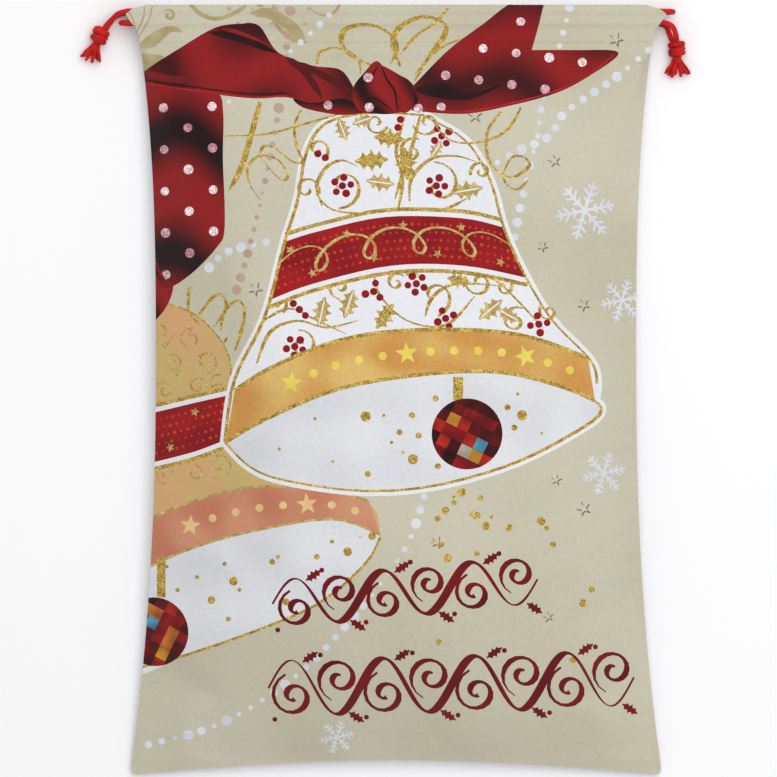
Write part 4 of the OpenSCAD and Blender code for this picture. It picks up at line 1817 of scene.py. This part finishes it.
    def curls(self) -> None:
        """Loops of thin gold string round the knot."""
        art, gold = self.art, self.art.inks.gold
        for points, width in (
            (((-71, 293), (-68, 304), (-55, 308), (-41, 304), (-33, 295), (-32, 284)), 2.4),
            (
                (
                    (-19, 291), (-41, 301), (-49, 313), (-46, 324), (-32, 329), (-17, 327), (-3, 318),
                    (1, 306), (-5, 294)
                ),
                4.0
            ),
            (
                (
                    (4, 291), (-3, 309), (1, 324), (15, 334), (31, 336), (44, 329), (43, 318), (31, 302),
                    (17, 278)
                ),
                4.0
            ),
            (((47, 345), (35, 331), (17, 318), (4, 302)), 2.2),
            (((17, 284), (35, 304), (53, 314), (64, 316)), 1.8),
            (((-122, 259), (-129, 232), (-138, 201), (-149, 179)), 4.0),
            (((-156, 228), (-116, 230), (-75, 241), (-44, 250)), 2.0),
            (
                (
                    (-85, 252), (-91, 237), (-89, 219), (-84, 205), (-93, 205), (-107, 216), (-118, 219),
                    (-121, 210), (-111, 196)
                ),
                2.4
            ),
            (
                (
                    (-111, 196), (-102, 188), (-97, 192), (-104, 205), (-115, 210), (-125, 209),
                    (-133, 198), (-130, 183), (-121, 170)
                ),
                2.2
            ),
            (
                (
                    (94, 250), (82, 232), (82, 210), (91, 196), (105, 191), (119, 201), (114, 209),
                    (103, 208), (95, 192)
                ),
                2.6
            ),
            (((95, 192), (100, 183), (109, 180), (119, 189)), 2.2),
            (((112, 254), (100, 234), (78, 223), (49, 224), (31, 244)), 2.2),
            (((-185, 93), (-186, 72), (-176, 59)), 2.6),
            (((-176, 68), (-163, 84), (-154, 84), (-152, 72), (-163, 57)), 2.6),
            (((-157, 54), (-152, 72), (-140, 80), (-135, 68), (-140, 46), (-144, 35)), 2.4),
        ):
            art.draw(gold, curve(points, steps=7), width, (0.7, 0.35), 0.35)

    def border(self) -> None:
        """Two scrolled garlands in dark red below the bells."""
        art, ink = self.art, self.art.inks.scroll
        for start, end, waves, height in (
            ((-110, -190), (126, -168), 3, 21), ((-114, -266), (214, -258), 4, 25)
        ):
            a, b = np.array(start, float), np.array(end, float)
            t = np.linspace(0, 1, 34 * waves)
            stem = mix(a, b, t[:, None]) + np.column_stack([t * 0, height * np.sin(TAU * waves * t)])
            art.draw(ink, stem, 5.0, (0.25, 0.25), 0.5)
            for k in range(2 * waves):
                crest = mix(a, b, (k + 0.5) / (2 * waves))
                hand = 1 if k % 2 else -1
                centre = (crest[0] + 2, crest[1] + hand * height * 0.3)
                art.draw(ink, spiral(centre, height * 0.84, 1.5, -110 * hand, -hand), 4.2, (0.4, 0.9), 0.4)
                spot = (crest[0] + 17, crest[1] - hand * (height + 3))
                art.fill(ink, leaf(spot, 17, -hand * 34, 0.5))
                art.dots(ink, [(crest[0] - 15, crest[1] + hand * (height + 4))], 2.3)


# ------------------------------------------------------------------------------- seams and stitching


@dataclass
class Gather:
    """Readies the pieces of the sack by baking each one's placement into its mesh; they are not made to
    follow the drawstrings.
    """

    form: SackForm
    spread: float = 121.5 * MM

    def follow(self, piece: Piece) -> None:
        """Bakes a piece's placement into its mesh."""
        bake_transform(piece)


@dataclass
class SewnSeam:
    """Seam inside the sack: two turned edges of cloth with an overlock thread over them."""

    form: SackForm
    name: str
    edge: Array
    inward: Array
    inset: float = 1.6 * MM
    width: float = 8 * MM
    ply_t: float = 0.5 * MM
    thread_r: float = 0.3 * MM
    stitch_pitch: float = 4.2 * MM

    def make(self, finishes: Finishes) -> tuple[Piece, Piece]:
        """Makes the cloth strip and its thread."""
        strip = Workpiece(self.name + "_strip")
        outer = self.edge + self.inward * self.inset
        inner = self.edge + self.inward * (self.inset + self.width)
        for face in (1, -1):
            rise = np.array([0, 0, face * 0.35 * self.ply_t])
            rows = [
                outer + rise, inner + rise * (1 + 0.8 * (face > 0)), inner - rise * 0.6, outer - rise * 0.6
            ]
            n = len(self.edge)
            points = np.stack(rows, axis=1).reshape(-1, 3)
            faces = [(0, 1, 2, 3), tuple(4 * (n - 1) + k for k in (3, 2, 1, 0))]
            for i in range(n - 1):
                faces += [
                    (4 * i + k, 4 * i + (k + 1) % 4, 4 * i + 4 + (k + 1) % 4, 4 * i + 4 + k)[::-1]
                    for k in range(4)
                ]
            strip.add(points + rise * 1.2, faces)
        cloth = strip.finish(finishes.seam, "seam_cloth")
        cloth.data.uv_layers.new(name="cloth")
        flat = np.array([v.co.to_tuple() for v in cloth.data.vertices])
        corners = np.empty(len(cloth.data.loops), int)
        cloth.data.loops.foreach_get("vertex_index", corners)
        cloth.data.uv_layers["cloth"].data.foreach_set("uv", flat[corners][:, :2].ravel())
        thread = Workpiece(self.name + "_overlock")
        line = even(inner, self.stitch_pitch / 2)
        back = even(mix(outer, inner, 0.35), self.stitch_pitch / 2)
        n = min(len(line), len(back))
        zigzag = np.where((np.arange(n) % 2 == 0)[:, None], line[:n], back[:n])
        for lift in (1, -1):
            thread.add_tube(zigzag + [0, 0, lift * self.ply_t * 1.1], self.thread_r, 5)
        return cloth, thread.finish(finishes.thread, "thread")


@dataclass
class StitchRow:
    """Lockstitch along the bottom of one channel, seen on its outer and inner faces."""

    cloth: Cloth
    rise: float = 3 * MM
    stitch: float = 2.9 * MM
    gap: float = 0.7 * MM
    thread_r: float = 0.3 * MM
    sides: int = 6

    def make(self, half: Half, finishes: Finishes, artwork: Artwork | None) -> Piece:
        """Makes the stitches of one half, printed with the cloth if it has a print."""
        form = self.cloth.form
        name = f"{self.cloth.side.name.lower()}_channel_stitching_{half.name.lower()}"
        row = Workpiece(name)
        flat: list[Array] = []
        reach = form.shoulder_w / 2 - 3 * MM
        pitch = self.stitch + self.gap
        for ply in (form.channel_y + self.rise, self.cloth.end - self.rise):
            for k in range(int(reach / pitch)):
                x = half.value * (pitch * (k + 0.5) + np.linspace(-0.5, 0.5, 6) * self.stitch)
                s = np.full(6, ply)
                path = self.cloth.place(x, s)
                path += self.cloth.normals(x, s) * (0.12 * MM)
                bow = np.sin(np.linspace(0, math.pi, 6)) ** 0.5
                row.add_tube(path, self.thread_r * (0.35 + 0.65 * bow), self.sides)
                flat.append(np.repeat(np.column_stack([x, s]), self.sides, axis=0))
        if artwork is None:
            return row.finish(finishes.thread, "thread")
        piece = row.finish(finishes.printed_thread, "thread")
        artwork.colour_thread(piece, np.vstack(flat))
        return piece


@dataclass
class Bartack:
    """Dense zigzag of thread that stops the end of a slit from tearing."""

    cloth: Cloth
    passes: int = 15
    width: float = 9 * MM
    height: float = 2.2 * MM
    thread_r: float = 0.26 * MM

    def make(self, half: Half, finishes: Finishes, artwork: Artwork) -> Piece:
        """Makes the bartack of one half, over its node in the frame and printed with the cloth."""
        low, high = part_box(f"{half.name.lower()}_bartack")
        tack = Workpiece(f"{half.name.lower()}_bartack_thread")
        middle = (np.array(low) + np.array(high)) / 2
        lay = np.linspace(-0.5, 0.5, 2 * self.passes)
        x = middle[0] + lay * self.width
        s = middle[1] + self.height / 2 * np.where(np.arange(2 * self.passes) % 2, 1, -1)
        path = self.cloth.place(x, s) + self.cloth.normals(x, s) * (0.1 * MM)
        for first, second in zip(path[:-1], path[1:]):
            tack.add_tube(mix(first, second, np.linspace(0, 1, 4)[:, None]), self.thread_r, 6)
        for edge in (-1, 1):
            s_edge = np.full(8, middle[1] + edge * self.height * 0.3)
            x_edge = middle[0] + np.linspace(-0.5, 0.5, 8) * self.width
            lift = self.cloth.normals(x_edge, s_edge) * (0.05 * MM)
            tack.add_tube(self.cloth.place(x_edge, s_edge) + lift, self.thread_r, 6)
        piece = tack.finish(finishes.printed_thread, "thread")
        flat = np.array([(v.co.x, v.co.y) for v in piece.data.vertices])
        artwork.colour_thread(piece, flat)
        return piece


# -------------------------------------------------------------------------------------- drawstrings


@dataclass
class Drawstring:
    """One drawstring: a loop of cord through both channels with its ends knotted together.

    Attributes:
        side: the side where its knot hangs.
        ends: its route from the knot to the first channel, then from the second back to the knot.
        turn: where it turns back at the other ear.
        lane: its height in the channels.
        exit: not used.
        knot_at: middle of its knot.
        tassel_turn: where its tassel points, in degrees.
        tassel_spread: how far the two frayed ends stand apart, in degrees.
    """

    side: Half
    route: Array
    exit: Place
    knot_at: Place
    tassel_turn: float
    tassel_spread: float
    cord_d: float = 5 * MM
    knot_r: float = 8 * MM
    wrap_r: float = 2.7 * MM
    wrap_pitch: float = 4.6 * MM
    tassel_l: float = 18 * MM
    braid_pitch: float = 5.4 * MM

    @property
    def body(self) -> str:
        """Body in the frame that this drawstring rides on."""
        return f"{self.side.name.lower()}_drawstring"

    def braid(self, count: int, spacing: float, radius: float, sides: int = 14) -> Array:
        """Radius of a braided cord, one a ring and side."""
        along = np.arange(count)[:, None] * spacing
        angle = (TAU * np.arange(sides) / sides)[None]
        turn = TAU * along / self.braid_pitch
        strands = np.abs(np.sin(1.5 * angle + turn)) + np.abs(np.sin(1.5 * angle - turn))
        return radius * (0.8 + 0.11 * strands)

    def make_cord(self, finishes: Finishes) -> tuple[Piece, Array]:
        """Makes the cord with its braid.

        Args:
            finishes: the finishes.

        Returns:
            The cord and its ring centres.
        """
        spacing = 0.9 * MM
        path = even(curve(self.route, steps=12), spacing)
        cord = Workpiece(f"{self.side.name.lower()}_drawstring_cord")
        cord.add_tube(path, self.braid(len(path), spacing, self.cord_d / 2), 14)
        return cord.finish(finishes.cord, "drawstring"), path

    def make_knot(self, finishes: Finishes) -> Piece:
        """Makes the knot of the doubled cord: wraps drawn tight round the two strands."""
        knot = Workpiece(f"{self.side.name.lower()}_drawstring_knot")
        way = math.radians(self.tassel_turn)
        spin = np.array([[math.cos(way), -math.sin(way), 0], [math.sin(way), math.cos(way), 0], [0, 0, 1]])
        turns, reach = 3.2, self.knot_r - self.wrap_r
        t = np.linspace(-0.5, 0.5, 150)
        angle = TAU * turns * t + 0.6 * self.side.value
        tuck = 1 - 0.75 * smooth((np.abs(t) - 0.42) / 0.08)
        lean = 0.9 * MM * np.sin(angle * 0.5)
        wraps = np.column_stack(
            [
                self.wrap_pitch * turns * t * 0.86 + lean, reach * tuck * np.cos(angle),
                reach * tuck * np.sin(angle)
            ]
        )
        strands = [wraps]
        for hand in (1, -1):
            u = np.linspace(-1, 1, 40)
            bow = 1.1 * MM * np.sin(2.2 * u + hand)
            strands.append(
                np.column_stack([u * self.knot_r * 0.95, hand * 1.7 * MM + bow, 1.2 * MM * hand * u])
            )
        for strand, radius in zip(strands, (self.wrap_r, self.cord_d * 0.42, self.cord_d * 0.42)):
            path = even(strand @ spin.T, 0.8 * MM) + np.array(self.knot_at)
            knot.add_tube(path, self.braid(len(path), 0.8 * MM, radius * 1.04), 14)
        return knot.finish(finishes.cord, "drawstring")

    def make_tassel(self, finishes: Finishes) -> Piece:
        """Makes the frayed ends below the knot."""
        dice = random.Random(5 + self.side.value)
        tassel = Workpiece(f"{self.side.name.lower()}_drawstring_tassel")
        way = math.radians(self.tassel_turn)
        ahead = np.array([math.cos(way), math.sin(way), 0])
        aside = np.array([-ahead[1], ahead[0], 0])
        root = np.array(self.knot_at) + ahead * (self.knot_r * 0.8)
        plies, fibres = 7, 6
        for end in (-1, 1):
            lean = math.radians(self.tassel_spread / 2) * end
            centre = ahead * math.cos(lean) + aside * math.sin(lean)
            cross = np.cross(centre, [0, 0, 1.0])
            for number in range(plies + fibres):
                thick = number < plies
                a, r = dice.uniform(0, TAU), math.sqrt(dice.uniform(0.1, 1))
                length = self.tassel_l * dice.uniform(0.7, 1.0) + self.knot_r * 0.25
                t = np.linspace(0, 1, 14)
                spread = (1.9 + 3.4 * t**1.4) * MM * r
                wave = (0.5 if thick else 0.3) * MM
                waves = wave * np.sin(t * dice.uniform(6, 13) + dice.uniform(0, TAU)) * t
                side = cross[None] * (spread * math.cos(a) + waves)[:, None]
                lift = np.outer(spread * math.sin(a) * 0.8 - 2.2 * MM * t, [0, 0, 1.0])
                path = root + np.outer(length * t, centre) + side + lift
                radius = dice.uniform(1.3, 1.7) * MM if thick else dice.uniform(0.4, 0.6) * MM
                path[:, 2] = np.maximum(path[:, 2], radius + 0.4 * MM)
                if thick:
                    twist = np.arange(14)[:, None] * 1.1 + 3 * (TAU * np.arange(9) / 9)[None]
                    taper = 1 - 0.12 * t[:, None] ** 3
                    tassel.add_tube(path, radius * (0.9 + 0.16 * np.sin(twist)) * taper, 9)
                else:
                    tassel.add_tube(path, radius * (1 - 0.3 * t), 5)
        return tassel.finish(finishes.tassel, "drawstring")

    def make(self, finishes: Finishes) -> list[Piece]:
        side = self.side.name.lower()
        cord, path = self.make_cord(finishes)
        knot, tassel = self.make_knot(finishes), self.make_tassel(finishes)
        for piece, node in ((cord, "cord"), (knot, "knot"), (tassel, "tassel")):
            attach(piece, self.body)
            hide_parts(f"{side}_{node}")
        return [cord, knot, tassel]


def lane(start: float, end: float, y: float, z: float) -> list[Place]:
    """Straight stretch of a route inside a channel, in millimetres."""
    step = 50 if end > start else -50
    return [(x, y, z) for x in range(int(start), int(end) + step, step)]


def left_route() -> Array:
    """Route of the left drawstring, the same as in the frame."""
    points = [(-263, 323, 11), (-258, 330, 16), (-251, 338, 22), (-242, 341, 24), (-232, 341, 24)]
    points += lane(-200, 200, 341, 24)
    points += [(229, 341, 24), (239, 341, 24), (244.5, 341, 22.5), (248, 341, 19), (249.5, 341, 14)]
    points += [(248, 341, 9), (244.5, 341, 5.5), (239, 341, 4), (229, 341, 4)]
    points += lane(200, -200, 341, 4)
    points += [(-232, 341, 4), (-242, 341, 4), (-252, 338, 4), (-260, 331, 4), (-264, 324, 6)]
    return np.array(points, float) * MM


def right_route() -> Array:
    """Route of the right drawstring, the same as in the frame."""
    points = [(253, 313, 11), (252, 320, 16), (248, 328, 22), (239, 331, 24), (230, 331, 24)]
    points += lane(200, -200, 331, 24)
    points += [(-228, 331, 24), (-237, 331, 24), (-242.5, 331, 22.5), (-246, 331, 19), (-247.5, 331, 14)]
    points += [(-246, 331, 9), (-242.5, 331, 5.5), (-237, 331, 4), (-228, 331, 4)]
    points += lane(-200, 200, 331, 4)
    points += [(228, 331, 4), (237, 331, 4), (244, 328, 4), (247, 321, 4), (250, 314, 6)]
    return np.array(points, float) * MM


# ------------------------------------------------------------------------------------------- studio


@dataclass
class Studio:
    """Camera over the sack, pale floor and soft light.

    Attributes:
        middle: where the camera stands over.
        field: width that it sees at the height of face_z.
        sky: strength of the even light from all round.
        key: place, size and power of the stronger lamp; fill: those of the weaker one.
    """

    middle: tuple[float, float] = (-6.75 * MM, 1.8 * MM)
    field: float = 699 * MM
    distance: float = 5.5
    sensor: float = 36.0
    face_z: float = 20 * MM
    sky: float = 0.58
    floor_reach: float = 6.0
    key: tuple[Place, float, float] = ((0.45, 0.9, 2.4), 2.3, 29)
    fill: tuple[Place, float, float] = ((0.5, -0.6, 2.4), 1.8, 7)

    def camera(self) -> None:
        """Makes the camera, which looks straight down."""
        data = bpy.data.cameras.new("camera")
        data.sensor_width = self.sensor
        data.lens = self.sensor * (self.distance - self.face_z) / self.field
        data.clip_end = 50
        camera = bpy.data.objects.new("camera", data)
        camera.location = (*self.middle, self.distance)
        bpy.context.scene.collection.objects.link(camera)
        bpy.context.scene.camera = camera

    def lamp(self, name: str, place: Place, size: float, power: float) -> None:
        """Adds a soft lamp aimed at the sack."""
        data = bpy.data.lights.new(name, "AREA")
        data.shape = "DISK"
        data.size = size
        data.energy = power
        lamp = bpy.data.objects.new(name, data)
        lamp.location = place
        lamp.rotation_euler = (-Vector(place)).to_track_quat("-Z", "Y").to_euler()
        bpy.context.scene.collection.objects.link(lamp)

    def light(self) -> None:
        """Lights the sack from above, a little stronger from the top and the right."""
        world = bpy.data.worlds.new("studio")
        world.use_nodes = True
        world.node_tree.nodes["Background"].inputs["Color"].default_value = (1, 1, 1, 1)
        world.node_tree.nodes["Background"].inputs["Strength"].default_value = self.sky
        bpy.context.scene.world = world
        bpy.context.scene.view_settings.view_transform = "Standard"
        self.lamp("key", *self.key)
        self.lamp("fill", *self.fill)

    def floor(self) -> None:
        """Lays the floor, a hair under the sack."""
        reach, level = self.floor_reach, -0.4 * MM
        corners = [
            (-reach, -reach, level), (reach, -reach, level), (reach, reach, level), (-reach, reach, level)
        ]
        mesh = bpy.data.meshes.new("studio_floor")
        mesh.from_pydata(corners, [], [(0, 1, 2, 3)])
        mesh.materials.append(StudioFloor().material())
        piece = bpy.data.objects.new("studio_floor", mesh)
        bpy.context.scene.collection.objects.link(piece)


# --------------------------------------------------------------------------------------------- sack


@dataclass
class Sack:
    """The made-up sack: two panels with their channels, seams, stitching and bartacks."""

    form: SackForm
    finishes: Finishes
    artwork: Artwork = field(default_factory=lambda: FestivePrint().make())

    def __post_init__(self) -> None:
        swell = FillSimulation(self.form).run()
        front, back = Cloth(self.form, Side.FRONT, swell=swell), Cloth(self.form, Side.BACK)
        self.panels = {Side.FRONT: front, Side.BACK: back}

    def cloth(self, side: Side) -> Cloth:
        """Surface of one panel."""
        return self.panels[side]

    def make_panels(self, gather: Gather) -> None:
        """Makes both panels, each in two halves."""
        for side in Side:
            cloth = self.cloth(side)
            artwork = self.artwork if side is Side.FRONT else None
            outside = self.finishes.printed if side is Side.FRONT else self.finishes.plain
            panel = side.name.lower()
            for half in Half:
                piece = cloth.make(half, artwork, outside, self.finishes.plain)
                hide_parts(f"{panel}_panel", f"{panel}_casing")
                gather.follow(piece)
                stitches = StitchRow(cloth).make(half, self.finishes, artwork)
                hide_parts(f"{panel}_casing_stitching")
                gather.follow(stitches)

    def make_seams(self, gather: Gather) -> None:
        """Makes the side seams and the base seam."""
        form = self.form
        y = np.linspace(form.base_y + 10 * MM, form.channel_y - 2 * MM, 120)
        for half in Half:
            x = half.value * form.half_width(y)
            u, v = form.share(x, y)
            edge = np.column_stack([x, y, form.seam_level(u, v)])
            inward = np.tile([-half.value, 0.0, 0.0], (len(y), 1))
            seam = SewnSeam(form, f"{half.name.lower()}_side_seam", edge, inward)
            for piece in seam.make(self.finishes):
                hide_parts(f"{half.name.lower()}_side_seam")
                gather.follow(piece)
        u = np.linspace(-0.93, 0.93, 110)
        y = form.base_edge(u)
        edge = np.column_stack([u * form.half_width(y), y, form.seam_level(u, u * 0)])
        inward = np.tile([0.0, 1.0, 0.0], (len(u), 1))
        for piece in SewnSeam(form, "base_seam", edge, inward).make(self.finishes):
            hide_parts("bottom_seam")
            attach(piece, "sack")

    def make_bartacks(self, gather: Gather) -> None:
        """Makes the bartacks at the slits."""
        for half in Half:
            tack = Bartack(self.cloth(Side.FRONT)).make(half, self.finishes, self.artwork)
            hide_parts(f"{half.name.lower()}_bartack")
            gather.follow(tack)


def main() -> None:
    """Builds the studio, the drawstrings and the sack."""
    logging.basicConfig(level=logging.INFO, format="%(name)s: %(message)s")
    studio = Studio()
    studio.camera()
    finishes = Finishes()
    left = Drawstring(
        Half.LEFT, left_route(), (-0.245, 0.340, 0.0235), (-0.267, 0.320, 0.0085), -112, 32
    )
    right = Drawstring(
        Half.RIGHT, right_route(), (0.242, 0.331, 0.024), (0.253, 0.308, 0.0085), -87, 50
    )
    for drawstring in (left, right):
        drawstring.make(finishes)
    form = SackForm()
    gather = Gather(form)
    sack = Sack(form, finishes)
    sack.make_panels(gather)
    sack.make_seams(gather)
    sack.make_bartacks(gather)
    studio.light()
    studio.floor()
    bpy.context.view_layer.update()


if __name__ == "__main__":
    main()
